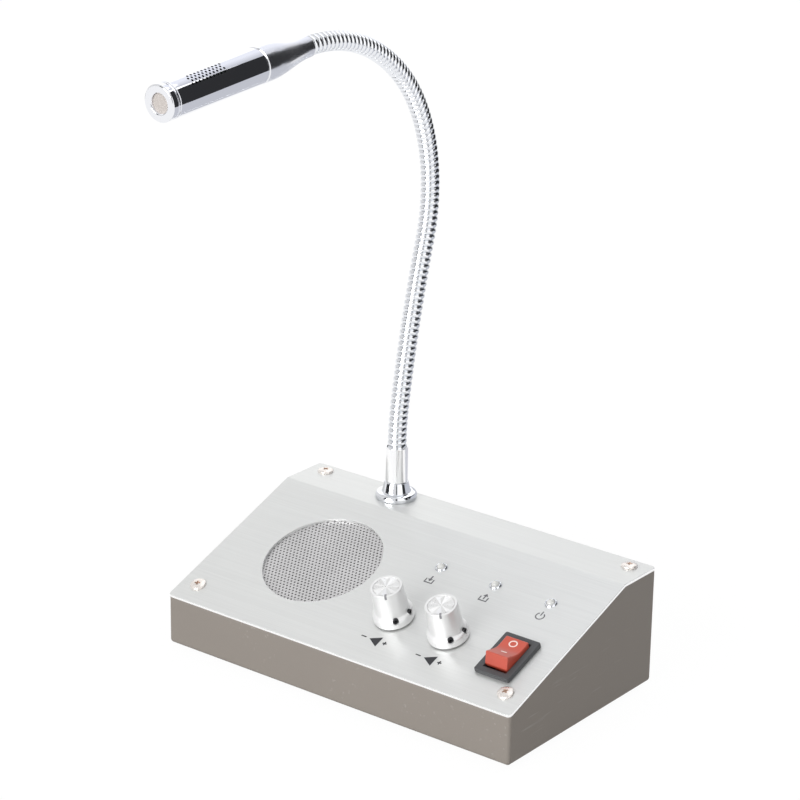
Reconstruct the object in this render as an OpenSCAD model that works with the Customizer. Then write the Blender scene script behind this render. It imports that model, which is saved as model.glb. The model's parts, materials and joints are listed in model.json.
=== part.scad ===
// Teller window intercom: a steel desk case with a bent aluminium panel, a built-in speaker,
// two volume knobs, a rocker switch, three status lights and a microphone on a flexible neck.
// The origin is the centre of the case's underside. +X is right, -Y faces the user, +Z is up.

/* [Case] */
// Width of the case, side to side
case_w = 160; // [156:1:190]
// Depth of the case, front to rear
case_d = 90; // [88:1:110]
// Height of the front wall
front_h = 19; // [18:0.5:24]
// Height of the rear wall
rear_h = 45; // [42:0.5:52]
// Depth of the level strip along the rear edge
strip_d = 20; // [19:0.5:24]
// Thickness of the folded steel sheet
steel_t = 1.2; // [0.8:0.1:1.6]
// Outer radius of the upright folded corners
corner_r = 1.4; // [1:0.1:3]
// Width of a screw tab, from the side wall inwards
tab_w = 14; // [12:0.5:18]
// Depth of a screw tab
tab_d = 11; // [9:0.5:13]

/* [Panel] */
// Thickness of the aluminium panel
panel_t = 1.2; // [1:0.1:2]
// Distance of each panel screw from the side edge
screw_side = 7.8; // [7:0.1:9]
// Distance of a front panel screw up the slope
screw_front_s = 9; // [8:0.5:11]
// Distance of a rear panel screw from the rear edge
screw_rear = 6; // [5.5:0.1:7]
// Diameter of the panel screw thread
screw_d = 3; // [2.5:0.5:3.5]
// Diameter of the panel screw head
screw_head_d = 6.4; // [5.6:0.1:7]
// Height of the panel screw head
screw_head_h = 1.9; // [1.4:0.1:2.4]
// Length of the panel screw thread
screw_l = 7; // [5:0.5:9]

/* [Speaker] */
// Distance of the speaker's centre from the left side
speaker_side = 44.5; // [42:0.5:46]
// Distance of the speaker's centre from the panel's bend, down the slope
speaker_down = 34.2; // [33:0.1:36]
// Diameter of the round opening in the panel
speaker_open_d = 47; // [40:0.5:47]
// Width of the grille and speaker flange under the panel edge
speaker_lip = 2; // [1.5:0.1:2.2]
// Thickness of the perforated grille
grille_t = 0.6; // [0.4:0.1:0.8]
// Distance between grille holes
grille_pitch = 2.7; // [2.6:0.1:3.6]
// Width of a grille hole across its corners
grille_hole_d = 1.9; // [1.2:0.1:2]
// Depth of the speaker basket below its flange
basket_h = 8.5; // [7:0.5:10]
// Diameter of the speaker magnet
magnet_d = 28; // [24:1:32]
// Height of the speaker magnet
magnet_h = 6; // [4:0.5:7]
// Distance of the clip studs from the opening's edge
clip_stud_out = 4.7; // [4.5:0.1:5]

/* [Controls] */
// Distance of the last control column from the right side
column_side = 19.5; // [18:0.5:21]
// Distance between the control columns
column_pitch = 25; // [22:0.5:25.5]
// Centre of the knobs, up the slope
knob_s = 25.2; // [24:0.1:27]
// Diameter of the knob skirt
knob_skirt_d = 15.7; // [15:0.1:17]
// Diameter of the knob at its top
knob_top_d = 12.1; // [11:0.1:12.5]
// Height of the knob
knob_h = 14.8; // [13:0.1:17]
// Height of the knob skirt
knob_skirt_h = 4.2; // [3.9:0.1:5]
// Gap between the panel and the knob
knob_gap = 0.6; // [0.4:0.1:1]
// Diameter of the control shafts
shaft_d = 6; // [5:0.1:6]
// Diameter of the round control body behind the panel
pot_d = 16; // [15:0.1:17]
// Depth of the control body behind the panel
pot_h = 9; // [7:0.5:10]
// Diameter of the threaded bush of a control
bush_d = 7; // [6.8:0.1:7.5]
// Height of the threaded bush above the panel
bush_h = 3.6; // [3.2:0.1:3.8]
// Width across flats of the bush nut
bush_nut_af = 10; // [9:0.1:10.5]
// Diameter of the grub screws in a knob
grub_d = 2.4; // [2:0.1:2.6]

/* [Lights] */
// Centre of the status lights, up the slope
light_s = 55; // [53:0.5:57]
// Diameter of a light's dome
led_d = 3; // [2.5:0.1:3.2]
// Diameter of the chrome rim round a light
led_rim_d = 5; // [4.6:0.1:6]

/* [Switch] */
// Distance of the rocker switch's centre from the right side
switch_side = 17.2; // [16:0.1:18]
// Centre of the rocker switch, up the slope
switch_s = 24; // [23:0.1:26]
// Width of the switch bezel
bezel_w = 15.2; // [14.8:0.1:16]
// Length of the switch bezel, up the slope
bezel_l = 21; // [20.5:0.1:22]
// Height of the switch bezel above the panel
bezel_h = 2; // [1.6:0.1:2.4]
// Width of the rocker
rocker_w = 9.7; // [9:0.1:10]
// Length of the rocker over its two ends
rocker_l = 14.5; // [14:0.1:14.8]
// Tilt of the rocker to each side of level
rocker_tilt = 14; // [10:1:15]
// Wall of the switch housing
housing_wall = 1.4; // [1.2:0.1:1.6]
// Depth of the switch housing behind the panel
housing_h = 12; // [11:0.5:14]
// Diameter of the rocker's pivot pins
rocker_pin_d = 2.2; // [1.6:0.1:2.4]

/* [Neck] */
// Distance of the neck from the left side
neck_side = 45; // [42:0.5:48]
// Distance of the neck from the rear edge
neck_rear = 8.3; // [8.2:0.1:9]
// Length of the flexible neck
neck_l = 214; // [200:1:240]
// Outer diameter of the flexible neck
neck_d = 7.4; // [7:0.1:8]
// Depth of the groove between two turns of the winding
groove_h = 0.5; // [0.3:0.05:0.6]
// Distance between two turns of the winding
winding_pitch = 2.3; // [2:0.1:3]
// Diameter of the bore along the neck
neck_bore_d = 3.2; // [2.5:0.1:3.4]
// Diameter of the base flange
flange_d = 16.2; // [14:0.1:16.4]
// Height of the base flange
flange_h = 2.6; // [2:0.1:4]
// Height of the cone above the flange
flange_cone_h = 4.2; // [3:0.1:6]
// Height of the smooth sleeve above the cone
ferrule_h = 14.2; // [13:0.1:20]
// Diameter of the smooth sleeve
ferrule_d = 8.6; // [8.3:0.1:9]
// Diameter of the threaded stud under the flange
stud_d = 8; // [7:0.1:9]
// Width across flats of the stud nut
stud_nut_af = 12; // [11:0.1:12.6]

/* [Microphone] */
// Diameter of the microphone head
head_d = 13.4; // [12.5:0.1:16]
// Length of the tapered rear end of the head
head_taper_l = 28; // [24:0.5:34]
// Length of the head's barrel
head_barrel_l = 45; // [40:0.5:60]
// Length of the cap at the front of the head
head_cap_l = 4; // [3:0.1:5]
// Wall of the barrel
head_wall = 1; // [0.8:0.1:1.2]
// Diameter of the round opening in the cap
cap_open_d = 7.2; // [6:0.1:8.5]
// Diameter of the microphone capsule
capsule_d = 9.6; // [9:0.1:9.8]
// Length of the microphone capsule
capsule_l = 6.6; // [5:0.1:8]
// Number of sound holes along the barrel
sound_cols = 10; // [6:1:12]
// Number of rows of sound holes
sound_rows = 4; // [2:1:4]

/* [Rear sockets] */
// Height of the socket centres above the underside
socket_z = 17; // [15:0.5:22]
// Distance of the power socket from the right side
power_socket_side = 24; // [20:1:26]
// Distance of the recording socket from the power socket
record_socket_away = 22; // [18:1:24]
// Distance of the external unit socket from the recording socket
unit_socket_away = 20; // [16:1:24]
// Bore of an audio socket
audio_bore_d = 3.6; // [3.5:0.05:3.7]
// Depth of an audio socket's body behind the wall
audio_body_l = 12; // [10:0.5:14]

/* [Inside] */
// Width of the main board
board_w = 58; // [50:1:60]
// Depth of the main board
board_d = 56; // [50:1:60]
// Thickness of the main board
board_t = 1.6; // [1.2:0.1:2]
// Height of the board's standoffs
standoff_h = 4; // [3:0.5:6]
// Distance of the board's holes from its edges
board_hole_in = 4; // [3.5:0.5:6]

/* [Feet] */
// Diameter of the rubber feet
foot_d = 12; // [8:0.5:16]
// Height of the rubber feet
foot_h = 2; // [1.5:0.1:4]
// Distance of a foot's centre from the case edges
foot_in = 12; // [10:0.5:20]

/* [Fits] */
// Radial gap of a shaft or pin in its running bore
running_gap = 0.05; // [0.02:0.01:0.09]
// Gap round a part that drops into a cut-out or a hole
cut_gap = 0.15; // [0.1:0.05:0.25]
// Radial gap of a ball in its socket in the neck
ball_gap = 0.1; // [0.06:0.02:0.2]

/* [Hidden] */

$fn = 48;
EPS = 0.01;

// The sloping part of the panel: its angle, and the place of a point on it.
slope_run = case_d - strip_d;
slope = atan2(rear_h - front_h, slope_run);
slope_l = slope_run / cos(slope);
lead_d = 1.8;

// Places across the panel, and the speaker's place up the slope.
speaker_x = speaker_side - case_w / 2;
speaker_s = slope_l - speaker_down;
neck_x = neck_side - case_w / 2;
column_x = case_w / 2 - column_side - 2 * column_pitch;
switch_x = case_w / 2 - switch_side;
power_socket_x = case_w / 2 - power_socket_side;
record_socket_x = power_socket_x - record_socket_away;
unit_socket_x = record_socket_x - unit_socket_away;

// The neck's centre line lies in one upright plane: [share of its length, turn towards the user] of
// each arc.
NECK_ARCS = [[0.08, -9], [0.3, -7], [0.228, 39], [0.112, 22], [0.28, 49]];
LINKS = 9;
link_l = neck_l / LINKS;
neck_y = case_d / 2 - neck_rear;
neck_z = rear_h + panel_t + flange_h + flange_cone_h + ferrule_h;
neck_r = neck_d / 2;
groove_r = neck_r - groove_h;
bore_r = neck_bore_d / 2;
// Half the groove between two links: it lets a link tilt by its full range.
link_gap = 0.8;
ball_r = groove_r + 0.1;
socket_r = ball_r + ball_gap;
plug_l = 7;

// Place of a child on the slope: x across, s up the slope, h above the panel's underside.
module on_slope(x, s, h = 0) {
    translate([0, -case_d / 2, front_h])
        rotate([slope, 0, 0])
            translate([x, s, h])
                children();
}

// A flat outline drawn in y and z, made w wide across the case.
module across(w) {
    rotate([90, 0, 90])
        linear_extrude(w, center = true)
            children();
}

module rounded_rect(w, d, r) {
    square([w - 2 * r, d], center = true);
    square([w, d - 2 * r], center = true);
    for (x = [-1, 1], y = [-1, 1])
        translate([x * (w / 2 - r), y * (d / 2 - r)])
            circle(r);
}

// A centred block whose top face lies at height 0.
module slab(w, d, h) {
    translate([0, 0, -h / 2])
        cube([w, d, h], center = true);
}

module tube(r_out, r_in, h) {
    difference() {
        cylinder(h = h, r = r_out);
        translate([0, 0, -EPS])
            cylinder(h = h + 2 * EPS, r = r_in);
    }
}

// A hexagonal nut, with its flats towards the front and the rear.
module nut(af, hole_r, h) {
    difference() {
        cylinder(h = h, r = af / 2 / cos(30), $fn = 6);
        translate([0, 0, -EPS])
            cylinder(h = h + 2 * EPS, r = hole_r);
    }
}

// A cross-recess screw: head above height 0, thread below.
module cross_screw(d, head_d, head_h, l) {
    dome_r = (pow(head_d / 2, 2) + head_h * head_h) / (2 * head_h);
    difference() {
        union() {
            intersection() {
                translate([0, 0, head_h - dome_r])
                    sphere(dome_r);
                cylinder(h = head_h, r = head_d / 2);
            }
            translate([0, 0, -l])
                cylinder(h = l + EPS, r = d / 2);
        }
        for (a = [0, 90])
            rotate([0, 0, a])
                translate([0, 0, head_h])
                    cube([head_d * 0.55, head_d * 0.14, head_h], center = true);
    }
}

// Places of the four panel screws, on the panel's underside.
module at_panel_screws() {
    for (side = [-1, 1]) {
        on_slope(side * (case_w / 2 - screw_side), screw_front_s)
            children();
        translate([side * (case_w / 2 - screw_side), case_d / 2 - screw_rear, rear_h])
            children();
    }
}

module at_feet() {
    for (x = [-1, 1], y = [-1, 1])
        translate([x * (case_w / 2 - foot_in), y * (case_d / 2 - foot_in), 0])
            children();
}

// ---- case ----

module case_outline() {
    polygon([
        [-case_d / 2, 0],
        [case_d / 2, 0],
        [case_d / 2, rear_h],
        [case_d / 2 - strip_d, rear_h],
        [-case_d / 2, front_h]
    ]);
}

module case_tray() color("dimgray") {
    tab_x = case_w / 2 - tab_w / 2 - steel_t / 2;
    difference() {
        union() {
            difference() {
                linear_extrude(rear_h)
                    rounded_rect(case_w, case_d, corner_r);
                translate([0, 0, steel_t])
                    linear_extrude(rear_h)
                        rounded_rect(case_w - 2 * steel_t, case_d - 2 * steel_t,
                            max(corner_r - steel_t, 0.2));
            }
            for (side = [-1, 1]) {
                on_slope(side * tab_x, screw_front_s)
                    slab(tab_w, tab_d, steel_t);
                translate([side * tab_x, case_d / 2 - screw_rear, rear_h])
                    slab(tab_w, tab_d, steel_t);
            }
        }
        difference() {
            translate([0, 0, rear_h / 2])
                cube([case_w + 2, case_d + 2, 2 * rear_h], center = true);
            across(case_w + 4)
                case_outline();
        }
        at_panel_screws()
            translate([0, 0, -screw_l])
                cylinder(h = 2 * screw_l, r = screw_d / 2 + running_gap);
        for (x = [unit_socket_x, record_socket_x])
            at_socket(x)
                cylinder(h = 3 * steel_t, r = audio_bush_r + cut_gap, center = true);
        at_socket(power_socket_x)
            cylinder(h = 3 * steel_t, r = power_bush_r + cut_gap, center = true);
    }
}

module top_panel() color("gainsboro") difference() {
    bend = panel_t * tan(slope / 2);
    across(case_w)
        polygon([
            [-case_d / 2, front_h],
            [case_d / 2 - strip_d, rear_h],
            [case_d / 2, rear_h],
            [case_d / 2, rear_h + panel_t],
            [case_d / 2 - strip_d - bend, rear_h + panel_t],
            [-case_d / 2 - panel_t * sin(slope), front_h + panel_t * cos(slope)]
        ]);
    at_panel_screws()
        cylinder(h = 4 * panel_t, r = screw_d / 2 + cut_gap, center = true);
    on_slope(speaker_x, speaker_s)
        cylinder(h = 4 * panel_t, r = speaker_open_d / 2, center = true, $fn = 96);
    for (i = [0, 1])
        on_slope(column_x + i * column_pitch, knob_s)
            cylinder(h = 4 * panel_t, r = bush_d / 2 + cut_gap, center = true);
    for (i = [0, 1, 2])
        on_slope(column_x + i * column_pitch, light_s)
            cylinder(h = 4 * panel_t, r = led_sleeve_r + cut_gap, center = true);
    on_slope(switch_x, switch_s)
        cube([housing_w + 2 * cut_gap, housing_l + 2 * cut_gap, 4 * panel_t], center = true);
    translate([neck_x, neck_y, rear_h])
        cylinder(h = 4 * panel_t, r = stud_d / 2 + cut_gap, center = true);
}

module panel_screws() color("darkkhaki")
    at_panel_screws()
        translate([0, 0, panel_t])
            cross_screw(screw_d, screw_head_d, screw_head_h, screw_l);

module rubber_feet() color("black")
    at_feet()
        translate([0, 0, -foot_h])
            cylinder(h = foot_h, r1 = foot_d / 2 - 0.5, r2 = foot_d / 2);

// ---- speaker ----

speaker_r = speaker_open_d / 2 + speaker_lip;
gasket_t = 0.6;
basket_t = 0.8;
flange_top = -grille_t - gasket_t;
coil_r = 6.5;
coil_t = 0.3;
coil_gap = 0.3;
pole_r = coil_r - coil_gap;
gap_r = coil_r + coil_t + coil_gap;
basket_mouth_r = speaker_r - 3.2;
basket_floor_r = magnet_d / 2 - 1.2;
basket_floor = flange_top - basket_t - basket_h;

module speaker_grille() color("silver")
    on_slope(speaker_x, speaker_s, -grille_t)
        linear_extrude(grille_t)
            difference() {
                circle(speaker_r, $fn = 96);
                grille_holes();
            }

// Staggered rows of small holes, kept inside the round opening.
module grille_holes() {
    row_h = grille_pitch * sin(60);
    reach = speaker_open_d / 2 - grille_hole_d * 0.6;
    rows = floor(reach / row_h);
    cols = ceil(reach / grille_pitch) + 1;
    for (j = [-rows:rows], i = [-cols:cols]) {
        x = (i + (j % 2 == 0 ? 0 : 0.5)) * grille_pitch;
        if (norm([x, j * row_h]) < reach)
            translate([x, j * row_h])
                circle(grille_hole_d / 2, $fn = 6);
    }
}

module speaker_basket() color("slategray")
    on_slope(speaker_x, speaker_s)
        difference() {
            rotate_extrude($fn = 96)
                polygon([
                    [speaker_r, flange_top],
                    [speaker_r, flange_top - basket_t],
                    [basket_mouth_r + basket_t, flange_top - basket_t],
                    [basket_floor_r + basket_t, basket_floor],
                    [basket_floor_r + basket_t, basket_floor - basket_t],
                    [gap_r, basket_floor - basket_t],
                    [gap_r, basket_floor],
                    [basket_floor_r, basket_floor],
                    [basket_mouth_r, flange_top - basket_t],
                    [basket_mouth_r, flange_top]
                ]);
            for (a = [45:90:315])
                rotate([0, 0, a])
                    translate([(basket_mouth_r + basket_floor_r) / 2, 0, flange_top - basket_h / 2 - basket_t])
                        cube([10, 12, basket_h * 0.5], center = true);
        }

// Paper cone with its gasket ring, roll surround, dust cap and voice coil.
module speaker_cone() color("dimgray")
    on_slope(speaker_x, speaker_s)
        rotate_extrude($fn = 96)
            polygon([
                [speaker_r, -grille_t],
                [speaker_r, flange_top],
                [basket_mouth_r - 0.4, flange_top],
                [basket_mouth_r - 2.4, flange_top - 0.6],
                [coil_r + coil_t, basket_floor + 3],
                [coil_r + coil_t, basket_floor - 3],
                [coil_r, basket_floor - 3],
                [coil_r, basket_floor + 3.2],
                [0, basket_floor + 5],
                [0, basket_floor + 5.5],
                [coil_r, basket_floor + 4],
                [basket_mouth_r - 2.6, flange_top - 0.1],
                [basket_mouth_r - 1.2, -grille_t - 0.1],
                [basket_mouth_r + 0.6, -grille_t]
            ]);

module speaker_magnet() color("darkslategray")
    on_slope(speaker_x, speaker_s, basket_floor - basket_t - magnet_h)
        difference() {
            cylinder(h = magnet_h, r = magnet_d / 2);
            translate([0, 0, 1.5])
                tube(gap_r, pole_r, magnet_h);
        }

clip_r = speaker_open_d / 2 + clip_stud_out;
clip_t = 1;
clip_h = -flange_top + basket_t;
clip_stud_r = 1.4;

module at_clips() {
    for (a = [60, 180, 300])
        on_slope(speaker_x, speaker_s)
            rotate([0, 0, a])
                children();
}

// Bent clips that press the speaker and its grille against the panel.
module speaker_clips() color("silver")
    at_clips()
        difference() {
            union() {
                translate([speaker_r - 1.6, -3, -clip_h - clip_t])
                    cube([clip_r + 3 - speaker_r + 1.6, 6, clip_t]);
                translate([clip_r + 2.2, -3, -clip_h - EPS])
                    cube([0.8, 6, clip_h + EPS]);
            }
            translate([clip_r, 0, -clip_h - 2 * clip_t])
                cylinder(h = 3 * clip_t, r = clip_stud_r + cut_gap);
        }

module clip_studs() color("silver")
    at_clips()
        translate([clip_r, 0, -clip_h - 4])
            cylinder(h = clip_h + 4, r = clip_stud_r);

module clip_nuts() color("silver")
    at_clips()
        translate([clip_r, 0, -clip_h - clip_t - 1.8])
            nut(4.8, clip_stud_r + running_gap, 1.8);

// ---- volume controls ----

knob_low = panel_t + knob_gap;
knob_high = knob_low + knob_h;
knob_wall = 1.2;
shaft_high = knob_high - 3;
washer_t = 0.5;
nut_t = 2;
// Directions of the two grub screws, from the panel's width towards its upper edge.
GRUB_ANGLES = [-42, 28];

module at_knob(i) {
    on_slope(column_x + i * column_pitch, knob_s)
        children();
}

// Turned aluminium: a flared skirt, a tapered grip and a shallow dished top.
module volume_knob(i) color("whitesmoke")
    at_knob(i)
        difference() {
            rotate_extrude($fn = 96)
                polygon([
                    [0, knob_low],
                    [knob_skirt_d / 2 - 0.3, knob_low],
                    [knob_skirt_d / 2, knob_low + 0.3],
                    [knob_skirt_d / 2, knob_low + knob_skirt_h * 0.6],
                    [knob_skirt_d / 2 - 0.4, knob_low + knob_skirt_h * 0.85],
                    [knob_top_d / 2 + 0.7, knob_low + knob_skirt_h],
                    [knob_top_d / 2, knob_high - 0.5],
                    [knob_top_d / 2 - 0.5, knob_high],
                    [0, knob_high]
                ]);
            translate([0, 0, knob_low - EPS])
                cylinder(h = bush_h + panel_t - knob_low + 0.3, r = knob_skirt_d / 2 - knob_wall);
            cylinder(h = shaft_high + 0.2, r = shaft_d / 2 + running_gap);
            for (a = GRUB_ANGLES)
                rotate([0, 0, a])
                    translate([0, 0, grub_z_high])
                        rotate([0, 90, 0])
                            cylinder(h = knob_skirt_d, r = grub_d / 2 + running_gap);
        }

// The grub screws stand just above the nut's recess.
grub_z_high = bush_h + panel_t + 0.3 + grub_d / 2 + 0.3;
grub_l = 3;

module knob_grubs(i) color("black")
    at_knob(i)
        for (a = GRUB_ANGLES)
            rotate([0, 0, a])
                translate([shaft_d / 2 + 0.05, 0, grub_z_high])
                    rotate([0, 90, 0])
                        difference() {
                            cylinder(h = grub_l, r = grub_d / 2);
                            translate([0, 0, grub_l - 1])
                                cylinder(h = 2, r = grub_d / 4, $fn = 6);
                        }

module knob_shaft(i) color("silver")
    at_knob(i)
        translate([0, 0, -pot_h + 1])
            cylinder(h = shaft_high + pot_h - 1, r = shaft_d / 2);

module pot(i) color("peru")
    at_knob(i)
        difference() {
            union() {
                translate([0, 0, -pot_h])
                    cylinder(h = pot_h, r = pot_d / 2);
                cylinder(h = panel_t + bush_h, r = bush_d / 2);
                for (x = [-1, 0, 1])
                    translate([x * 5 - 0.5, -pot_d / 2 - 4, -pot_h + 2])
                        cube([1, 6, 0.6]);
            }
            translate([0, 0, -pot_h + 1])
                cylinder(h = pot_h + panel_t + bush_h, r = shaft_d / 2 + running_gap);
        }

module inside_volume_knob() volume_knob(0);
module outside_volume_knob() volume_knob(1);
module inside_knob_grubs() knob_grubs(0);
module outside_knob_grubs() knob_grubs(1);
module inside_shaft() knob_shaft(0);
module outside_shaft() knob_shaft(1);
module inside_pot() pot(0);
module outside_pot() pot(1);

module pot_washers() color("silver")
    for (i = [0, 1])
        at_knob(i)
            translate([0, 0, panel_t])
                tube(bush_nut_af / 2 + 0.6, bush_d / 2 + running_gap, washer_t);

module pot_nuts() color("silver")
    for (i = [0, 1])
        at_knob(i)
            translate([0, 0, panel_t + washer_t])
                nut(bush_nut_af, bush_d / 2 + running_gap, nut_t);

// ---- status lights ----

led_sleeve_r = led_d / 2 + 0.5;
led_rim_h = 0.8;

module at_lights() {
    for (i = [0, 1, 2])
        on_slope(column_x + i * column_pitch, light_s)
            children();
}

module light_rims() color("silver")
    at_lights()
        difference() {
            union() {
                translate([0, 0, panel_t])
                    cylinder(h = led_rim_h, r1 = led_rim_d / 2, r2 = led_rim_d / 2 - 0.5);
                translate([0, 0, -3])
                    cylinder(h = 3 + panel_t + EPS, r = led_sleeve_r);
            }
            translate([0, 0, -4])
                cylinder(h = 10, r = led_d / 2 + running_gap);
        }

module light_lenses() color("white")
    at_lights() {
        dome_z = panel_t + 0.4;
        translate([0, 0, dome_z])
            sphere(led_d / 2);
        translate([0, 0, -3])
            cylinder(h = 3 + dome_z, r = led_d / 2);
        translate([0, 0, -4])
            cylinder(h = 1, r = led_d / 2 + 0.4);
        translate([0, 0, -4])
            cylinder(h = 2, r = led_d / 2);
        for (x = [-1, 1])
            translate([x * led_d / 4, 0, -9])
                cylinder(h = 5 + EPS, r = 0.25);
    }

// ---- rocker switch ----

rocker_side_gap = 0.15;
rocker_end_gap = 0.25;
// The pivot's height above the panel's underside.
pivot_h = panel_t + 1;
rocker_low = 0.3;
rocker_valley = 2.9;
rocker_top_u = rocker_l / 2 - 0.9;
rocker_top = rocker_valley + rocker_top_u * tan(rocker_tilt);
rocker_end_r = norm([rocker_top_u, rocker_top]);
pocket_l = 2 * (rocker_end_r + rocker_end_gap);
housing_w = rocker_w + 2 * (rocker_side_gap + housing_wall);
housing_l = pocket_l + 2 * housing_wall;
housing_floor = 1.6;
blade_l = 7;

module on_switch(h = 0) {
    on_slope(switch_x, switch_s, h)
        children();
}

module switch_housing() color("dimgray")
    on_switch()
        difference() {
            union() {
                translate([0, 0, panel_t]) {
                    translate([0, 0, bezel_h - 0.5])
                        linear_extrude(0.5)
                            rounded_rect(bezel_w - 0.6, bezel_l - 0.6, 0.5);
                    linear_extrude(bezel_h - 0.5 + EPS)
                        rounded_rect(bezel_w, bezel_l, 0.6);
                }
                translate([0, 0, panel_t + EPS])
                    slab(housing_w, housing_l, housing_h + EPS);
            }
            translate([0, 0, panel_t + bezel_h + EPS])
                slab(rocker_w + 2 * rocker_side_gap, pocket_l,
                    housing_h + bezel_h - housing_floor);
            translate([0, 0, pivot_h])
                rotate([0, 90, 0])
                    cylinder(h = housing_w + 2, r = rocker_pin_d / 2 + running_gap, center = true);
            for (u = [-1, 1])
                translate([0, u * pocket_l / 4, panel_t - housing_h])
                    cube([4.8 + 2 * running_gap, 0.8 + 2 * running_gap, 3 * housing_floor],
                        center = true);
        }

// The rocker at rest: its rear end is down, and its front end stands up.
module switch_rocker() color("tomato")
    on_switch(pivot_h)
        rotate([-rocker_tilt, 0, 0]) {
            rotate([90, 0, 90])
                linear_extrude(rocker_w, center = true)
                    polygon([
                        [0, rocker_valley],
                        [rocker_top_u, rocker_top],
                        [rocker_l / 2, -rocker_low],
                        [rocker_l / 2 - 1.2, -2],
                        [2.6, -3.4],
                        [1.5, -6.2],
                        [-1.5, -6.2],
                        [-2.6, -3.4],
                        [-rocker_l / 2 + 1.2, -2],
                        [-rocker_l / 2, -rocker_low],
                        [-rocker_top_u, rocker_top]
                    ]);
            rotate([0, 90, 0])
                cylinder(h = rocker_w + 2 * housing_wall, r = rocker_pin_d / 2, center = true);
        }

module switch_terminals() color("goldenrod")
    on_switch(panel_t - housing_h)
        for (u = [-1, 1])
            translate([0, u * pocket_l / 4, housing_floor + 0.4]) {
                slab(4.8, 0.8, housing_floor + 0.4 + blade_l);
                translate([0, 0, 0.4])
                    slab(4.8, 2.4, 0.4);
            }

// ---- neck ----

// Point and lean of the centre line a distance d along it: [y, z, lean towards the user].
function arc_end(p, d, turn) =
    let (a = p[2] + turn, r = d / (turn * PI / 180))
    [p[0] + r * (cos(a) - cos(p[2])), p[1] + r * (sin(a) - sin(p[2])), a];
function neck_at(d, i = 0, p = [neck_y, neck_z, 0]) =
    let (l = NECK_ARCS[i][0] * neck_l, turn = NECK_ARCS[i][1])
    d <= l || i == len(NECK_ARCS) - 1
        ? (abs(d) < 1e-6 ? p : arc_end(p, d, turn * d / l))
        : neck_at(d - l, i + 1, arc_end(p, l, turn));

module at_neck(d) {
    p = neck_at(d);
    translate([neck_x, p[0], p[1]])
        rotate([p[2], 0, 0])
            children();
}

SIDES = 8;

// Ring of points of radius r, square to the centre line.
function neck_ring(d, r) =
    let (p = neck_at(d))
    [for (k = [0:SIDES - 1])
        let (a = 360 * (k + 0.5) / SIDES, u = r * sin(a))
        [neck_x + r * cos(a), p[0] + u * cos(p[2]), p[1] + u * sin(p[2])]];

// Ribbed tube with a bore, along the centre line from d0 to d1.
module ribbed_tube(d0, d1) {
    ribs = round((d1 - d0) / winding_pitch);
    n = 2 * ribs + 1;
    inner = ribs + 1;
    outer_pts = [for (i = [0:n - 1])
        each neck_ring(d0 + (d1 - d0) * i / (n - 1), i % 2 == 0 ? groove_r : neck_r)];
    inner_pts = [for (i = [0:inner - 1])
        each neck_ring(d0 + (d1 - d0) * i / (inner - 1), bore_r + 0.4)];
    base = n * SIDES;
    quads = concat(
        [for (i = [0:n - 2], k = [0:SIDES - 1])
            [i * SIDES + k, (i + 1) * SIDES + k,
                (i + 1) * SIDES + (k + 1) % SIDES, i * SIDES + (k + 1) % SIDES]],
        [for (i = [0:inner - 2], k = [0:SIDES - 1])
            [base + i * SIDES + k, base + i * SIDES + (k + 1) % SIDES,
                base + (i + 1) * SIDES + (k + 1) % SIDES, base + (i + 1) * SIDES + k]],
        [for (k = [0:SIDES - 1])
            [k, (k + 1) % SIDES, base + (k + 1) % SIDES, base + k]],
        [for (k = [0:SIDES - 1])
            let (o = (n - 1) * SIDES, m = base + (inner - 1) * SIDES)
            [o + k, m + k, m + (k + 1) % SIDES, o + (k + 1) % SIDES]]);
    polyhedron(concat(outer_pts, inner_pts),
        [for (q = quads) each [[q[0], q[1], q[2]], [q[0], q[2], q[3]]]]);
}

// A straight ribbed collar round the axis, from z0 to z1, with whole ribs.
module ribbed_collar(z0, z1, ribs) {
    p = (z1 - z0) / ribs;
    rotate_extrude()
        polygon(concat(
            [[0, z0], [neck_r - groove_h / 2, z0]],
            [for (i = [0:ribs - 1])
                each [[neck_r, z0 + (i + 0.25) * p], [neck_r, z0 + (i + 0.5) * p],
                    [groove_r, z0 + (i + 1) * p - (i == ribs - 1 ? 0 : EPS)]]],
            [[0, z1]]));
}

module bore(z0, z1) {
    translate([0, 0, z0])
        cylinder(h = z1 - z0, r = bore_r);
}

// Link i of the neck: a socket at its lower end and a ball at its upper end.
// The first link starts in the sleeve, and the last one ends in the microphone head.
socket_l = 4.6;
ball_root = 3.4;
module neck_link(i) color("lightsteelblue") {
    d0 = i * link_l;
    d1 = d0 + link_l;
    first = i == 0;
    last = i == LINKS - 1;
    ribbed_tube(d0 + (first ? 0.6 : socket_l - 0.6), d1 - (last ? 0.6 : ball_root - 0.6));
    at_neck(d0)
        if (first) {
            tube_plug(-plug_l, 1.2);
        } else {
            difference() {
                ribbed_collar(link_gap, socket_l, 2);
                sphere(socket_r);
                bore(0, socket_l + 1);
            }
        }
    at_neck(d1)
        if (last) {
            tube_plug(-1.2, plug_l);
        } else {
            difference() {
                union() {
                    mirror([0, 0, 1])
                        ribbed_collar(link_gap, ball_root, 1);
                    sphere(ball_r);
                }
                bore(-ball_root - 1, ball_r + 1);
            }
        }
}

module tube_plug(z0, z1) {
    translate([0, 0, z0])
        tube(groove_r, bore_r, z1 - z0);
}

module at_neck_base() {
    translate([neck_x, neck_y, rear_h + panel_t])
        children();
}

spigot_h = 4;

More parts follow.
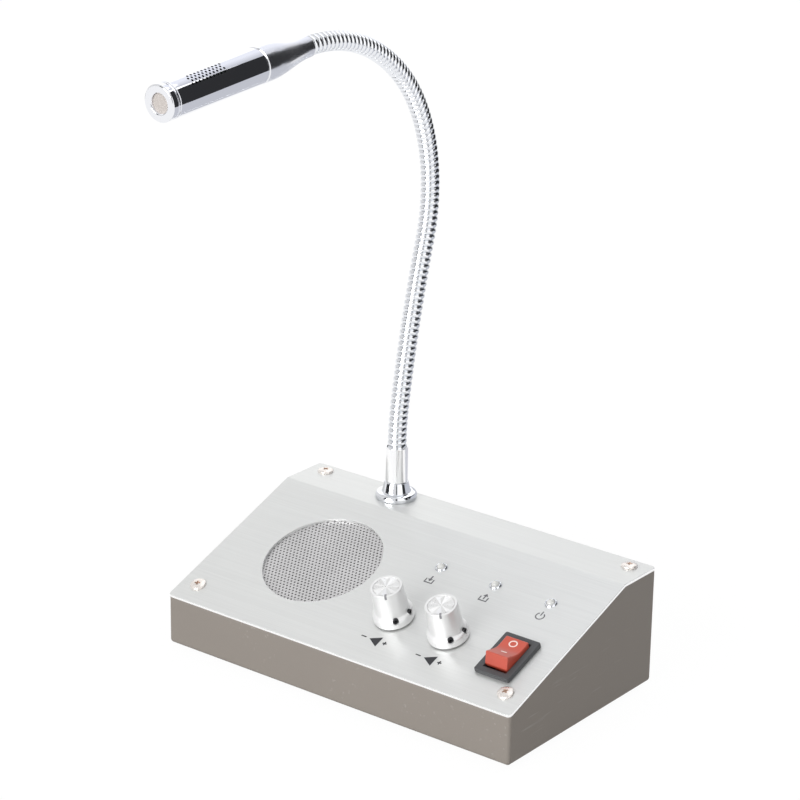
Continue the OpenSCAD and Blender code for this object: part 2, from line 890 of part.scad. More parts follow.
module neck_flange() color("silver")
    at_neck_base()
        difference() {
            rotate_extrude()
                polygon([
                    [0, -panel_t - 8],
                    [stud_d / 2, -panel_t - 8],
                    [stud_d / 2, 0],
                    [flange_d / 2 - 0.3, 0],
                    [flange_d / 2, 0.4],
                    [flange_d / 2, flange_h * 0.55],
                    [flange_d / 2 - 0.6, flange_h * 0.85],
                    [flange_d / 2 - 1.6, flange_h],
                    [ferrule_d / 2 + 1.2, flange_h],
                    [ferrule_d / 2 + 0.3, flange_h + flange_cone_h],
                    [groove_r, flange_h + flange_cone_h],
                    [groove_r, flange_h + flange_cone_h + spigot_h],
                    [0, flange_h + flange_cone_h + spigot_h]
                ]);
            bore(-panel_t - 9, 20);
        }

module neck_ferrule() color("silver")
    at_neck_base()
        translate([0, 0, flange_h + flange_cone_h])
            difference() {
                cylinder(h = ferrule_h, r = ferrule_d / 2);
                translate([0, 0, -EPS])
                    cylinder(h = ferrule_h + 2 * EPS, r = groove_r + running_gap);
            }

stud_washer_t = 1;
stud_nut_h = 4;

module neck_washer() color("silver")
    at_neck_base()
        translate([0, 0, -panel_t - stud_washer_t])
            tube(stud_nut_af / 2 + 0.6, stud_d / 2 + running_gap, stud_washer_t);

module neck_nut() color("silver")
    at_neck_base()
        translate([0, 0, -panel_t - stud_washer_t - stud_nut_h])
            nut(stud_nut_af, stud_d / 2 + running_gap, stud_nut_h);

module neck_link_1() neck_link(0);
module neck_link_2() neck_link(1);
module neck_link_3() neck_link(2);
module neck_link_4() neck_link(3);
module neck_link_5() neck_link(4);
module neck_link_6() neck_link(5);
module neck_link_7() neck_link(6);
module neck_link_8() neck_link(7);
module neck_link_9() neck_link(8);

// ---- microphone head ----

head_r = head_d / 2;
TAPER_STEPS = 14;
ring_h = 0.35;
// The taper's straight land before the barrel, its fit in the barrel, and the depth of its hollow.
taper_land = 5;
taper_fit_l = 4;
taper_hollow = 8;

// Place of a child a distance d along the head's axis from the end of the neck.
module on_head(d = 0) {
    at_neck(neck_l)
        translate([0, 0, d])
            children();
}

// Swept ogee from the neck to the barrel, with a fine ring groove at its wide end.
module mic_taper() color("silver")
    on_head()
        difference() {
            start_r = neck_r + 0.3;
            swell_l = head_taper_l - taper_land;
            rotate_extrude()
                polygon(concat(
                    [[0, 0]],
                    [for (k = [0:TAPER_STEPS])
                        [start_r + (head_r - start_r) * (1 - cos(180 * k / TAPER_STEPS)) / 2,
                            swell_l * k / TAPER_STEPS]],
                    [
                        [head_r, head_taper_l - 1],
                        [head_r - ring_h, head_taper_l - 0.7],
                        [head_r - ring_h, head_taper_l],
                        [head_r - head_wall - running_gap, head_taper_l],
                        [head_r - head_wall - running_gap, head_taper_l + taper_fit_l],
                        [0, head_taper_l + taper_fit_l]
                    ]));
            translate([0, 0, -EPS])
                cylinder(h = plug_l + 0.3, r = groove_r + running_gap);
            bore(0, head_taper_l + taper_fit_l + 1);
            translate([0, 0, head_taper_l - taper_hollow])
                cylinder(h = taper_hollow + taper_fit_l + 1, r = head_r - 2 * head_wall);
        }

module mic_barrel() color("silver")
    on_head(head_taper_l)
        difference() {
            tube(head_r, head_r - head_wall, head_barrel_l);
            sound_holes();
        }

// Staggered rows of small holes on top of the barrel, near its front.
sound_pitch = 1.8;
sound_front = 8;
sound_hole_r = 0.45;
module sound_holes() {
    pitch_a = 13;
    for (j = [0:sound_rows - 1], i = [0:sound_cols - 1])
        translate([0, 0, head_barrel_l - sound_front - (i + (j % 2) / 2) * sound_pitch])
            rotate([0, 0, 90 + (j - (sound_rows - 1) / 2) * pitch_a])
                rotate([0, 90, 0])
                    cylinder(h = head_d, r = sound_hole_r, $fn = 6);
}

module mic_cap() color("silver")
    on_head(head_taper_l + head_barrel_l)
        difference() {
            rotate_extrude()
                polygon([
                    [cap_open_d / 2, -3],
                    [head_r - head_wall - running_gap, -3],
                    [head_r - head_wall - running_gap, 0],
                    [head_r - ring_h, 0],
                    [head_r - ring_h, 0.4],
                    [head_r, 0.4],
                    [head_r, 1],
                    [head_r - ring_h, 1],
                    [head_r - ring_h, 1.4],
                    [head_r, 1.4],
                    [head_r, head_cap_l - 0.4],
                    [head_r - 0.4, head_cap_l],
                    [cap_open_d / 2 + 0.4, head_cap_l],
                    [cap_open_d / 2, head_cap_l - 0.4]
                ]);
            translate([0, 0, -3 - EPS])
                cylinder(h = 3 + EPS + capsule_front, r = capsule_d / 2 + cut_gap);
        }

capsule_front = head_cap_l - 1.2;
module mic_capsule() color("lightgray")
    on_head(head_taper_l + head_barrel_l + capsule_front - capsule_l)
        cylinder(h = capsule_l, r = capsule_d / 2);

// The boot holds the capsule's rear end, and the board stands in its slot.
boot_in = 6;
boot_t = 3;
boot_slot = 1.5;
boot_hole_r = 1.5;
mic_board_l = 27.4;
mic_board_w = 6.8;
mic_board_t = 1;

module mic_boot() color("black")
    on_head(head_taper_l + head_barrel_l - boot_in)
        difference() {
            cylinder(h = boot_t, r = head_r - head_wall - cut_gap);
            translate([0, 0, boot_in + capsule_front - capsule_l])
                cylinder(h = boot_t, r = capsule_d / 2 + running_gap);
            translate([0, 0, -EPS])
                cylinder(h = boot_t + 2 * EPS, r = boot_hole_r);
            cube([mic_board_w + 0.2, mic_board_t + 0.2, 2 * boot_slot], center = true);
        }

module mic_board() color("green")
    on_head(head_taper_l + head_barrel_l - boot_in + boot_slot - cut_gap - mic_board_l / 2)
        cube([mic_board_w, mic_board_t, mic_board_l], center = true);

// ---- rear sockets ----

audio_bush_r = 3;
power_bush_r = 4;
// Length of a socket's threaded bush outside the rear wall.
socket_proud = 3.2;

// Place of a child on the rear wall's outer face, with its axis pointing out of the case.
module at_socket(x) {
    translate([x, case_d / 2, socket_z])
        rotate([-90, 0, 0])
            children();
}

module audio_socket(x) color("dimgray")
    at_socket(x)
        difference() {
            union() {
                translate([0, 0, -steel_t - audio_body_l / 2])
                    cube([9, 10, audio_body_l], center = true);
                translate([0, 0, -steel_t - EPS])
                    cylinder(h = steel_t + EPS + socket_proud, r = audio_bush_r);
            }
            translate([0, 0, -steel_t - audio_body_l + 1])
                cylinder(h = audio_body_l + 10, r = audio_bore_d / 2);
        }

module unit_socket() audio_socket(unit_socket_x);
module record_socket() audio_socket(record_socket_x);

module power_socket() color("dimgray")
    at_socket(power_socket_x)
        union() {
            difference() {
                union() {
                    translate([0, 0, -steel_t - 12])
                        cylinder(h = 12, r = 5);
                    translate([0, 0, -steel_t - EPS])
                        cylinder(h = steel_t + EPS + socket_proud, r = power_bush_r);
                }
                translate([0, 0, -steel_t - 9])
                    cylinder(h = 20, r = 2.9);
            }
            translate([0, 0, -steel_t - 9.5])
                cylinder(h = 11, r = 1);
        }

module socket_nuts() color("silver") {
    for (x = [unit_socket_x, record_socket_x])
        at_socket(x)
            nut(8, audio_bush_r + running_gap, 2);
    at_socket(power_socket_x)
        nut(11, power_bush_r + running_gap, 2);
}

// ---- main board ----

board_x = case_w / 2 - 62;
board_y = -3;
board_z = steel_t + standoff_h;
board_top = board_z + board_t;

module at_board(x, y, z = board_top) {
    translate([board_x + x, board_y + y, z])
        children();
}

module at_board_holes(z) {
    for (x = [-1, 1], y = [-1, 1])
        at_board(x * (board_w / 2 - board_hole_in), y * (board_d / 2 - board_hole_in), z)
            children();
}

module main_board() color("darkgreen")
    difference() {
        at_board(0, 0)
            slab(board_w, board_d, board_t);
        at_board_holes(board_z - 1)
            cylinder(h = board_t + 2, r = 1.5 + cut_gap);
    }

module board_standoffs() color("silver")
    at_board_holes(steel_t)
        difference() {
            cylinder(h = standoff_h, r = 3);
            translate([0, 0, 0.5])
                cylinder(h = standoff_h, r = 1.5 + running_gap);
        }

module board_screws() color("silver")
    at_board_holes(board_top)
        cross_screw(3, 5.4, 1.6, board_t + standoff_h - 1);

module amplifier_chip() color("black")
    at_board(-10, 20)
        translate([-5, -2.25, 0])
            cube([10, 4.5, 14]);

module heat_sink() color("silver")
    at_board(-10, 20) {
        translate([-9, -3.75, 0])
            cube([18, 1.5, 18]);
        for (k = [0:4])
            translate([-9 + k * 4.2, -9.75, 0])
                cube([1.2, 6 + EPS, 18]);
    }

module capacitors() color("midnightblue") {
    for (k = [0:2])
        at_board(5 + k * 9, 16.5)
            cylinder(h = 11, r = 4);
    for (k = [0:3])
        at_board(-18 + k * 8, -4)
            cylinder(h = 6, r = 2.5);
}

HEADERS = [[-24, 5], [-24, -8], [0, -20], [12, -20], [23, 4]];

module board_headers() color("ivory")
    for (p = HEADERS)
        at_board(p[0], p[1])
            translate([-2.9, -3.75, 0])
                cube([5.8, 7.5, 6]);

// Insulated leads, clipped between the board and the parts they serve.
module lead(points) {
    for (k = [0:len(points) - 2]) {
        a = points[k];
        b = points[k + 1];
        v = b - a;
        translate(a)
            rotate([0, acos(v[2] / norm(v)), atan2(v[1], v[0])])
                cylinder(h = norm(v), r = lead_d / 2, $fn = 16);
        translate(b)
            sphere(lead_d * 0.55, $fn = 16);
    }
}

module internal_leads() color("firebrick") {
    lead([
        [board_x - 24, board_y + 5, board_top + 6],
        [board_x - 24, board_y + 5, board_top + 9],
        [-21, 10, 16],
        [-24, 14, 20]
    ]);
    lead([
        [board_x - 24, board_y - 8, board_top + 6],
        [board_x - 24, board_y - 8, board_top + 8],
        [-14, 22, 14],
        [neck_x, neck_y, 24],
        [neck_x, neck_y, rear_h - 8.5]
    ]);
}

case_tray();
top_panel();
panel_screws();
rubber_feet();
speaker_grille();
speaker_basket();
speaker_cone();
speaker_magnet();
speaker_clips();
clip_studs();
clip_nuts();
inside_volume_knob();
outside_volume_knob();
inside_knob_grubs();
outside_knob_grubs();
inside_shaft();
outside_shaft();
inside_pot();
outside_pot();
pot_washers();
pot_nuts();
light_rims();
light_lenses();
switch_housing();
switch_rocker();
switch_terminals();
neck_flange();
neck_ferrule();
neck_washer();
neck_nut();
neck_link_1();
neck_link_2();
neck_link_3();
neck_link_4();
neck_link_5();
neck_link_6();
neck_link_7();
neck_link_8();
neck_link_9();
mic_taper();
mic_barrel();
mic_cap();
mic_capsule();
mic_boot();
mic_board();
unit_socket();
record_socket();
power_socket();
socket_nuts();
main_board();
board_standoffs();
board_screws();
amplifier_chip();
heat_sink();
capacitors();
board_headers();
internal_leads();
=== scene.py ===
import json
import math

import bmesh
import bpy
from mathutils import Matrix, Quaternion, Vector


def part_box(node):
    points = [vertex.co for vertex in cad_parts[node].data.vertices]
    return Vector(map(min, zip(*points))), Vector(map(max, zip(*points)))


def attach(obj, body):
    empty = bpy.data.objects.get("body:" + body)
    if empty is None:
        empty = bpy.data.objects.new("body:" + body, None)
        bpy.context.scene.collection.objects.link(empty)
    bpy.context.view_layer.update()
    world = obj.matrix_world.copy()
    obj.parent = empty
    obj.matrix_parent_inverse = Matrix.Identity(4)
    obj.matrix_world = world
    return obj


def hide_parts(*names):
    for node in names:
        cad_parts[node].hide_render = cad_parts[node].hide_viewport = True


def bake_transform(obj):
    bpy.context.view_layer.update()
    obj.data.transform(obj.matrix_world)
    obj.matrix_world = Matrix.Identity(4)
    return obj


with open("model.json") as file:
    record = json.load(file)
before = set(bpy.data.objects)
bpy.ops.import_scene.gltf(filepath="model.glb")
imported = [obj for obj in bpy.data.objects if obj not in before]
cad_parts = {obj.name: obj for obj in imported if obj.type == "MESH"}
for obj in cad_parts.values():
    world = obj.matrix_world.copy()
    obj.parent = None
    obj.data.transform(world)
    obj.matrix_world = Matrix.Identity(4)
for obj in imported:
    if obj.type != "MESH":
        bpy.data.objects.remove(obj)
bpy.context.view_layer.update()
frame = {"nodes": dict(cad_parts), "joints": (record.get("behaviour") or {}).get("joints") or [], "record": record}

# ---- camera ----
# A long lens above the right front corner, turned and tipped as in the photograph, with the small
# lean that the photograph has.
lens_data = bpy.data.cameras.new("camera")
lens_data.lens = 131.93
turn = math.radians(37.724)
rise = math.radians(20.612)
lean = math.radians(0.917)
camera = bpy.data.objects.new("camera", lens_data)
bpy.context.scene.collection.objects.link(camera)
bpy.context.scene.camera = camera
ahead = Vector((-math.sin(turn) * math.cos(rise), math.cos(turn) * math.cos(rise), -math.sin(rise)))
camera.rotation_mode = "QUATERNION"
camera.rotation_quaternion = ahead.to_track_quat("-Z", "Y") @ Quaternion((0, 0, 1), lean)
camera.location = (0.60923, -0.79464, 0.48176)
bpy.context.scene.view_settings.view_transform = "Standard"

# ---- studio ----
# A white sweep under four broad soft lights. Dark and grey bands round the object show only in
# polished metal, as the unlit parts of a studio do. Azimuths are in degrees from the rear.
def toward(azimuth, elevation):
    a = math.radians(azimuth)
    e = math.radians(elevation)
    return Vector((math.sin(a) * math.cos(e), math.cos(a) * math.cos(e), math.sin(e)))


def lamp(name, azimuth, elevation, strength, spread):
    light = bpy.data.lights.new(name, "SUN")
    light.energy = strength * math.pi
    light.angle = math.radians(spread)
    holder = bpy.data.objects.new(name, light)
    bpy.context.scene.collection.objects.link(holder)
    holder.rotation_mode = "QUATERNION"
    holder.rotation_quaternion = toward(azimuth, elevation).to_track_quat("Z", "Y")


def seen_or_mirrored(tree):
    """1 for what the camera sees, directly or in a mirror or a lens, and 0 for soft light."""
    path = tree.nodes.new("ShaderNodeLightPath")
    first = tree.nodes.new("ShaderNodeMath")
    first.operation = "MAXIMUM"
    second = tree.nodes.new("ShaderNodeMath")
    second.operation = "MAXIMUM"
    tree.links.new(path.outputs["Is Camera Ray"], first.inputs[0])
    tree.links.new(path.outputs["Is Glossy Ray"], first.inputs[1])
    tree.links.new(first.outputs[0], second.inputs[0])
    tree.links.new(path.outputs["Is Transmission Ray"], second.inputs[1])
    return second.outputs[0]


lamp("key", 188, 20, 0.8, 44)
lamp("fill", 105, 22, 0.11, 60)
lamp("window", -38, 22, 0.075, 50)
lamp("overhead", 10, 62, 0.215, 60)

# The room is plain white. Metal mirrors it a little dimmer towards the ceiling.
world = bpy.data.worlds.new("studio")
bpy.context.scene.world = world
world.use_nodes = True
tree = world.node_tree
soft = tree.nodes["Background"]
soft.inputs["Color"].default_value = (1, 1, 1, 1)
soft.inputs["Strength"].default_value = 0.45
bright = tree.nodes.new("ShaderNodeBackground")
where = tree.nodes.new("ShaderNodeTexCoord")
height = tree.nodes.new("ShaderNodeSeparateXYZ")
dimmed = tree.nodes.new("ShaderNodeMapRange")
dimmed.inputs["From Min"].default_value = 0.3
dimmed.inputs["From Max"].default_value = 0.75
dimmed.inputs["To Min"].default_value = 1.0
dimmed.inputs["To Max"].default_value = 0.93
tree.links.new(where.outputs["Generated"], height.inputs[0])
tree.links.new(height.outputs["Z"], dimmed.inputs["Value"])
tree.links.new(dimmed.outputs["Result"], bright.inputs["Strength"])
either = tree.nodes.new("ShaderNodeMixShader")
tree.links.new(seen_or_mirrored(tree), either.inputs["Fac"])
tree.links.new(soft.outputs[0], either.inputs[1])
tree.links.new(bright.outputs[0], either.inputs[2])
tree.links.new(either.outputs[0], tree.nodes["World Output"].inputs["Surface"])

# The sweep is white to the eye and holds the object's shadow, and sends up less light than it shows.
floor_look = bpy.data.materials.new("white_sweep")
floor_look.use_nodes = True
tree = floor_look.node_tree
tree.nodes.clear()
plain = tree.nodes.new("ShaderNodeBsdfDiffuse")
plain.inputs["Color"].default_value = (0.42, 0.42, 0.42, 1)
glow = tree.nodes.new("ShaderNodeEmission")
glow.inputs["Strength"].default_value = 1.075
share = tree.nodes.new("ShaderNodeMath")
share.operation = "MULTIPLY"
share.inputs[1].default_value = 0.9
either = tree.nodes.new("ShaderNodeMixShader")
out = tree.nodes.new("ShaderNodeOutputMaterial")
tree.links.new(seen_or_mirrored(tree), share.inputs[0])
tree.links.new(share.outputs[0], either.inputs["Fac"])
tree.links.new(plain.outputs[0], either.inputs[1])
tree.links.new(glow.outputs[0], either.inputs[2])
tree.links.new(either.outputs[0], out.inputs["Surface"])

floor_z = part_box("rubber_feet")[0].z
sweep_half = 9
corners = [(x * sweep_half, y * sweep_half, floor_z) for x, y in ((-1, -1), (1, -1), (1, 1), (-1, 1))]
mesh = bpy.data.meshes.new("sweep")
mesh.from_pydata(corners, [], [(0, 1, 2, 3)])
mesh.materials.append(floor_look)
sweep = bpy.data.objects.new("sweep", mesh)
bpy.context.scene.collection.objects.link(sweep)


def ribbon(name, path, half_width, tone=0.03, away=2.3, centre=(0, 0, 0), fade=None):
    """A band that only polished metal mirrors, along a path of azimuths and elevations. It can fade
    from the strength at its left end to the one at its right end."""
    look = bpy.data.materials.new(name)
    look.use_nodes = True
    tree = look.node_tree
    tree.nodes.clear()
    glow = tree.nodes.new("ShaderNodeEmission")
    glow.inputs["Color"].default_value = (tone, tone * 1.02, tone * 1.1, 1)
    out = tree.nodes.new("ShaderNodeOutputMaterial")
    tree.links.new(glow.outputs[0], out.inputs["Surface"])
    if fade:
        where = tree.nodes.new("ShaderNodeTexCoord")
        sideways = tree.nodes.new("ShaderNodeSeparateXYZ")
        level = tree.nodes.new("ShaderNodeMapRange")
        level.inputs["From Min"].default_value = 0.35
        level.inputs["To Min"].default_value = fade[0]
        level.inputs["To Max"].default_value = fade[1]
        tree.links.new(where.outputs["Generated"], sideways.inputs[0])
        tree.links.new(sideways.outputs["X"], level.inputs["Value"])
        tree.links.new(level.outputs["Result"], glow.inputs["Strength"])
    middle = []
    for (azimuth, elevation), (next_azimuth, next_elevation) in zip(path, path[1:]):
        for k in range(8):
            middle.append(toward(azimuth + (next_azimuth - azimuth) * k / 8,
                elevation + (next_elevation - elevation) * k / 8))
    points = []
    for k, spot in enumerate(middle):
        along = middle[min(k + 1, len(middle) - 1)] - middle[max(k - 1, 0)]
        across = spot.cross(along).normalized() * math.tan(math.radians(half_width))
        points += [Vector(centre) + (spot + side * across) * away for side in (1, -1)]
    faces = [(2 * k, 2 * k + 2, 2 * k + 3, 2 * k + 1) for k in range(len(middle) - 1)]
    mesh = bpy.data.meshes.new(name)
    mesh.from_pydata(points, [], faces)
    mesh.materials.append(look)
    holder = bpy.data.objects.new(name, mesh)
    bpy.context.scene.collection.objects.link(holder)
    holder.visible_camera = False
    holder.visible_diffuse = False
    holder.visible_shadow = False
    holder.visible_transmission = False


over_head = (0, -0.05, 0.235)
ribbon("rear_dark", ((34, -18), (34, 57)), 28, away=0.75, centre=over_head)
ribbon("rear_soft", ((-44, 38), (20, 46)), 13, 0.9, 0.3, over_head, (1.06, 0.62))
ribbon("rear_grey", ((38, -20), (22, -34), (-10, -39), (-30, -38)), 14, 0.6, 0.3, over_head)
ribbon("left_low_band", ((-152, 0), (-95, 0)), 5, away=0.8)
ribbon("right_low_band", ((75, 0), (15, 0)), 6, away=0.6)
ribbon("front_left_band", ((-151, 0), (-151, 56)), 7, 0.08)
ribbon("camera_band", ((140, 0), (140, 56)), 4, 0.08)
ribbon("right_band", ((80, 0), (80, 56)), 8)

# ---- case tray ----
# Folded steel sheet with upright walls, powder coated in a warm grey. Its bends at the floor are
# round, and four drilled tabs under the rim take the panel's screws.
def tint(code):
    """Linear colour from the six-figure screen colour."""
    parts = [int(code[k:k + 2], 16) / 255 for k in (0, 2, 4)]
    return [p / 12.92 if p <= 0.04045 else ((p + 0.055) / 1.055) ** 2.4 for p in parts] + [1]


def finish(name, code, roughness, metallic=0.0, **sockets):
    material = bpy.data.materials.new(name)
    material.use_nodes = True
    shader = material.node_tree.nodes["Principled BSDF"]
    shader.inputs["Base Color"].default_value = tint(code)
    shader.inputs["Roughness"].default_value = roughness
    shader.inputs["Metallic"].default_value = metallic
    for socket, value in sockets.items():
        shader.inputs[socket.replace("_", " ")].default_value = value
    return material


def scaled(tree, source, low, high, between=(0.3, 0.7)):
    """A value from low to high, as a pattern goes between its own two values."""
    spread = tree.nodes.new("ShaderNodeMapRange")
    spread.inputs["From Min"].default_value = between[0]
    spread.inputs["From Max"].default_value = between[1]
    spread.inputs["To Min"].default_value = low
    spread.inputs["To Max"].default_value = high
    tree.links.new(source, spread.inputs["Value"])
    return spread.outputs["Result"]


def grain(material, size, stretch=(1, 1, 1), tone=0.0, shine=0.0, relief=0.0, detail=4):
    """Lays a pattern of marks over a material: size in mm, tone and shine as shares, relief in mm."""
    tree = material.node_tree
    shader = tree.nodes["Principled BSDF"]
    where = tree.nodes.new("ShaderNodeTexCoord")
    place = tree.nodes.new("ShaderNodeMapping")
    place.inputs["Scale"].default_value = stretch
    noise = tree.nodes.new("ShaderNodeTexNoise")
    noise.inputs["Scale"].default_value = 1000 / size
    noise.inputs["Detail"].default_value = detail
    tree.links.new(where.outputs["Object"], place.inputs["Vector"])
    tree.links.new(place.outputs["Vector"], noise.inputs["Vector"])
    marks = noise.outputs["Fac"]
    if tone:
        colour = shader.inputs["Base Color"]
        mix = tree.nodes.new("ShaderNodeVectorMath")
        mix.operation = "SCALE"
        mix.inputs[0].default_value = colour.default_value[:3]
        if colour.is_linked:
            tree.links.new(colour.links[0].from_socket, mix.inputs[0])
        tree.links.new(scaled(tree, marks, 1 - tone, 1 + tone), mix.inputs["Scale"])
        tree.links.new(mix.outputs[0], colour)
    if shine:
        rough = shader.inputs["Roughness"]
        now = rough.default_value
        tree.links.new(scaled(tree, marks, now * (1 - shine), now * (1 + shine)), rough)
    if relief:
        bump = tree.nodes.new("ShaderNodeBump")
        bump.inputs["Distance"].default_value = relief * 0.001
        tree.links.new(marks, bump.inputs["Height"])
        if shader.inputs["Normal"].is_linked:
            tree.links.new(shader.inputs["Normal"].links[0].from_socket, bump.inputs["Normal"])
        tree.links.new(bump.outputs[0], shader.inputs["Normal"])
    return material


def scratched(material, code, size, stretch, turned_by, least, strength, patch_size=28):
    """Short fine scratches of another colour, in patches. Sizes are in mm."""
    tree = material.node_tree
    shader = tree.nodes["Principled BSDF"]
    where = tree.nodes.new("ShaderNodeTexCoord")
    place = tree.nodes.new("ShaderNodeMapping")
    place.inputs["Scale"].default_value = stretch
    place.inputs["Rotation"].default_value = turned_by
    fine = tree.nodes.new("ShaderNodeTexNoise")
    fine.inputs["Scale"].default_value = 1000 / size
    fine.inputs["Detail"].default_value = 2
    patch = tree.nodes.new("ShaderNodeTexNoise")
    patch.inputs["Scale"].default_value = 1000 / patch_size
    tree.links.new(where.outputs["Object"], place.inputs["Vector"])
    tree.links.new(place.outputs["Vector"], fine.inputs["Vector"])
    tree.links.new(where.outputs["Object"], patch.inputs["Vector"])
    both = tree.nodes.new("ShaderNodeMath")
    both.operation = "MULTIPLY"
    tree.links.new(scaled(tree, fine.outputs["Fac"], 0, 1, (least, least + 0.05)), both.inputs[0])
    tree.links.new(scaled(tree, patch.outputs["Fac"], 0, strength, (0.48, 0.62)), both.inputs[1])
    colour = shader.inputs["Base Color"]
    mix = tree.nodes.new("ShaderNodeMix")
    mix.data_type = "RGBA"
    mix.inputs["A"].default_value = colour.default_value
    if colour.is_linked:
        tree.links.new(colour.links[0].from_socket, mix.inputs["A"])
    mix.inputs["B"].default_value = tint(code)
    tree.links.new(both.outputs[0], mix.inputs["Factor"])
    tree.links.new(mix.outputs["Result"], colour)
    return material


def tidy(mesh, sharp=35):
    """Joins doubled points, turns the faces outward, and keeps corners above the angle crisp."""
    work = bmesh.new()
    work.from_mesh(mesh)
    bmesh.ops.remove_doubles(work, verts=work.verts, dist=1e-7)
    bmesh.ops.recalc_face_normals(work, faces=work.faces)
    for face in work.faces:
        face.smooth = True
    for edge in work.edges:
        edge.smooth = len(edge.link_faces) != 2 or edge.calc_face_angle() < math.radians(sharp)
    work.to_mesh(mesh)
    work.free()


def piece(name, shape, place, *looks, sharp=35):
    """A new object from a shape in millimetres. A shape is a list of points and a list of faces."""
    points, faces = shape
    mesh = bpy.data.meshes.new(name)
    mesh.from_pydata([place @ Vector(p) * 0.001 for p in points], [], faces)
    for look in looks:
        mesh.materials.append(look)
    tidy(mesh, sharp)
    made = bpy.data.objects.new(name, mesh)
    bpy.context.scene.collection.objects.link(made)
    return made


def settle(made):
    """Turns what the modifiers make into the object's own mesh."""
    graph = bpy.context.evaluated_depsgraph_get()
    old = made.data
    made.data = bpy.data.meshes.new_from_object(made.evaluated_get(graph))
    made.modifiers.clear()
    made.data.name = old.name
    bpy.data.meshes.remove(old)


def cut(made, shape, place, look=0):
    """Takes a shape out of an object. The cut faces take the object's look of that number."""
    cutter = piece("cutter", shape, place)
    for face in cutter.data.polygons:
        face.material_index = look
    step = made.modifiers.new("cut", "BOOLEAN")
    step.operation = "DIFFERENCE"
    step.solver = "EXACT"
    step.object = cutter
    settle(made)
    bpy.data.objects.remove(cutter)
    return made


def soften(made, width, steps=2, angle=35):
    """Rounds the crisp edges by a width in millimetres."""
    tidy(made.data, angle)
    round_edges = made.modifiers.new("round", "BEVEL")
    round_edges.width = width * 0.001
    round_edges.segments = steps
    round_edges.limit_method = "ANGLE"
    round_edges.angle_limit = math.radians(angle)
    made.modifiers.new("shade", "WEIGHTED_NORMAL").keep_sharp = True
    settle(made)
    return made


def fit(made, body, slot, *nodes):
    """Ends a piece: even shading, the body it moves with, and the nodes it stands for. The slot is not used."""
    made.modifiers.new("shade", "WEIGHTED_NORMAL").keep_sharp = True
    settle(made)
    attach(made, body)
    if nodes:
        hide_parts(*nodes)
    return made


def merged(shapes):
    """Several shapes as one."""
    points = []
    faces = []
    for some_points, some_faces in shapes:
        start = len(points)
        points += some_points
        faces += [[start + k for k in face] for face in some_faces]
    return points, faces


def moved(shape, place):
    return [tuple(place @ Vector(p)) for p in shape[0]], shape[1]


def at(x=0, y=0, z=0):
    return Matrix.Translation((x, y, z))


def spin(degrees, axis):
    return Matrix.Rotation(math.radians(degrees), 4, axis)


def loft(rings, closed=True):
    """Skin over rings of equal length, with a flat face at each end where closed."""
    count = len(rings[0])
    points = [p for ring in rings for p in ring]
    faces = []
    for row in range(len(rings) - 1):
        for k in range(count):
            after = (k + 1) % count
            faces.append([row * count + k, row * count + after,
                (row + 1) * count + after, (row + 1) * count + k])
    if closed:
        faces.append(list(range(count))[::-1])
        faces.append([(len(rings) - 1) * count + k for k in range(count)])
    return points, faces


def turned(outline, steps=64):
    """An outline of (radius, height) points turned round Z."""
    points = []
    faces = []
    rows = []
    for r, z in outline:
        if r < 1e-6:
            rows.append([len(points)] * steps)
            points.append((0, 0, z))
        else:
            rows.append([len(points) + k for k in range(steps)])
            points += [(r * math.cos(math.tau * k / steps), r * math.sin(math.tau * k / steps), z)
                for k in range(steps)]
    for low, high in zip(rows, rows[1:]):
        for k in range(steps):
            after = (k + 1) % steps
            corners = list(dict.fromkeys([low[k], low[after], high[after], high[k]]))
            if len(corners) > 2:
                faces.append(corners)
    return points, faces


def block(w, d, h):
    """A box that stands on height 0."""
    ring = [(-w / 2, -d / 2), (w / 2, -d / 2), (w / 2, d / 2), (-w / 2, d / 2)]
    return loft([[(x, y, z) for x, y in ring] for z in (0, h)])


def rounded_rect(w, d, r, steps=6):
    points = []
    for x, y, start in ((1, 1, 0), (-1, 1, 90), (-1, -1, 180), (1, -1, 270)):
        for k in range(steps + 1):
            a = math.radians(start + 90 * k / steps)
            points.append((x * (w / 2 - r) + r * math.cos(a), y * (d / 2 - r) + r * math.sin(a)))
    return points


joints = {joint["name"]: joint for joint in frame["joints"]}
axis = Vector(joints["inside_volume_turn"]["axis"])
slope = math.atan2(-axis.y, axis.z)
low, high = (corner * 1000 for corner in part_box("case_tray"))
case_w = high.x - low.x
case_d = high.y - low.y
rear_h = high.z
front_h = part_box("top_panel")[0].z * 1000
bend_y = -case_d / 2 + (rear_h - front_h) / math.tan(slope)
slope_l = (rear_h - front_h) / math.sin(slope)
panel_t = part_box("top_panel")[1].z * 1000 - rear_h
steel_t = 1.2
corner_r = 1.4


def on_slope(x, s, h=0):
    """Place on the sloping panel: across, up the slope from its front edge, and off its underside."""
    return at(0, -case_d / 2, front_h) @ Matrix.Rotation(slope, 4, "X") @ at(x, s, h)


def rim_height(y):
    return min(rear_h, front_h + (y + case_d / 2) * math.tan(slope))


def tray_ring(inset, height=None, drop=0.0):
    """Outline of the tray at one height, or along its rim, lowered by the drop."""
    ring = rounded_rect(case_w - 2 * inset, case_d - 2 * inset, max(corner_r - inset, 0.2))
    left_corners = len(ring) // 2
    ring.insert(left_corners, (-case_w / 2 + inset, bend_y))
    ring.append((case_w / 2 - inset, bend_y))
    return [(x, y, rim_height(y) - drop if height is None else height) for x, y in ring]


paint = finish("case_paint", "8a837c", 0.52, Specular_IOR_Level=0.35)
grain(paint, 60, tone=0.03, shine=0.08)
grain(paint, 0.5, relief=0.035, detail=2)
scratched(paint, "a8a39c", 1.6, (1, 0.07, 1), (0.9, 0.2, 0.1), 0.64, 0.4)

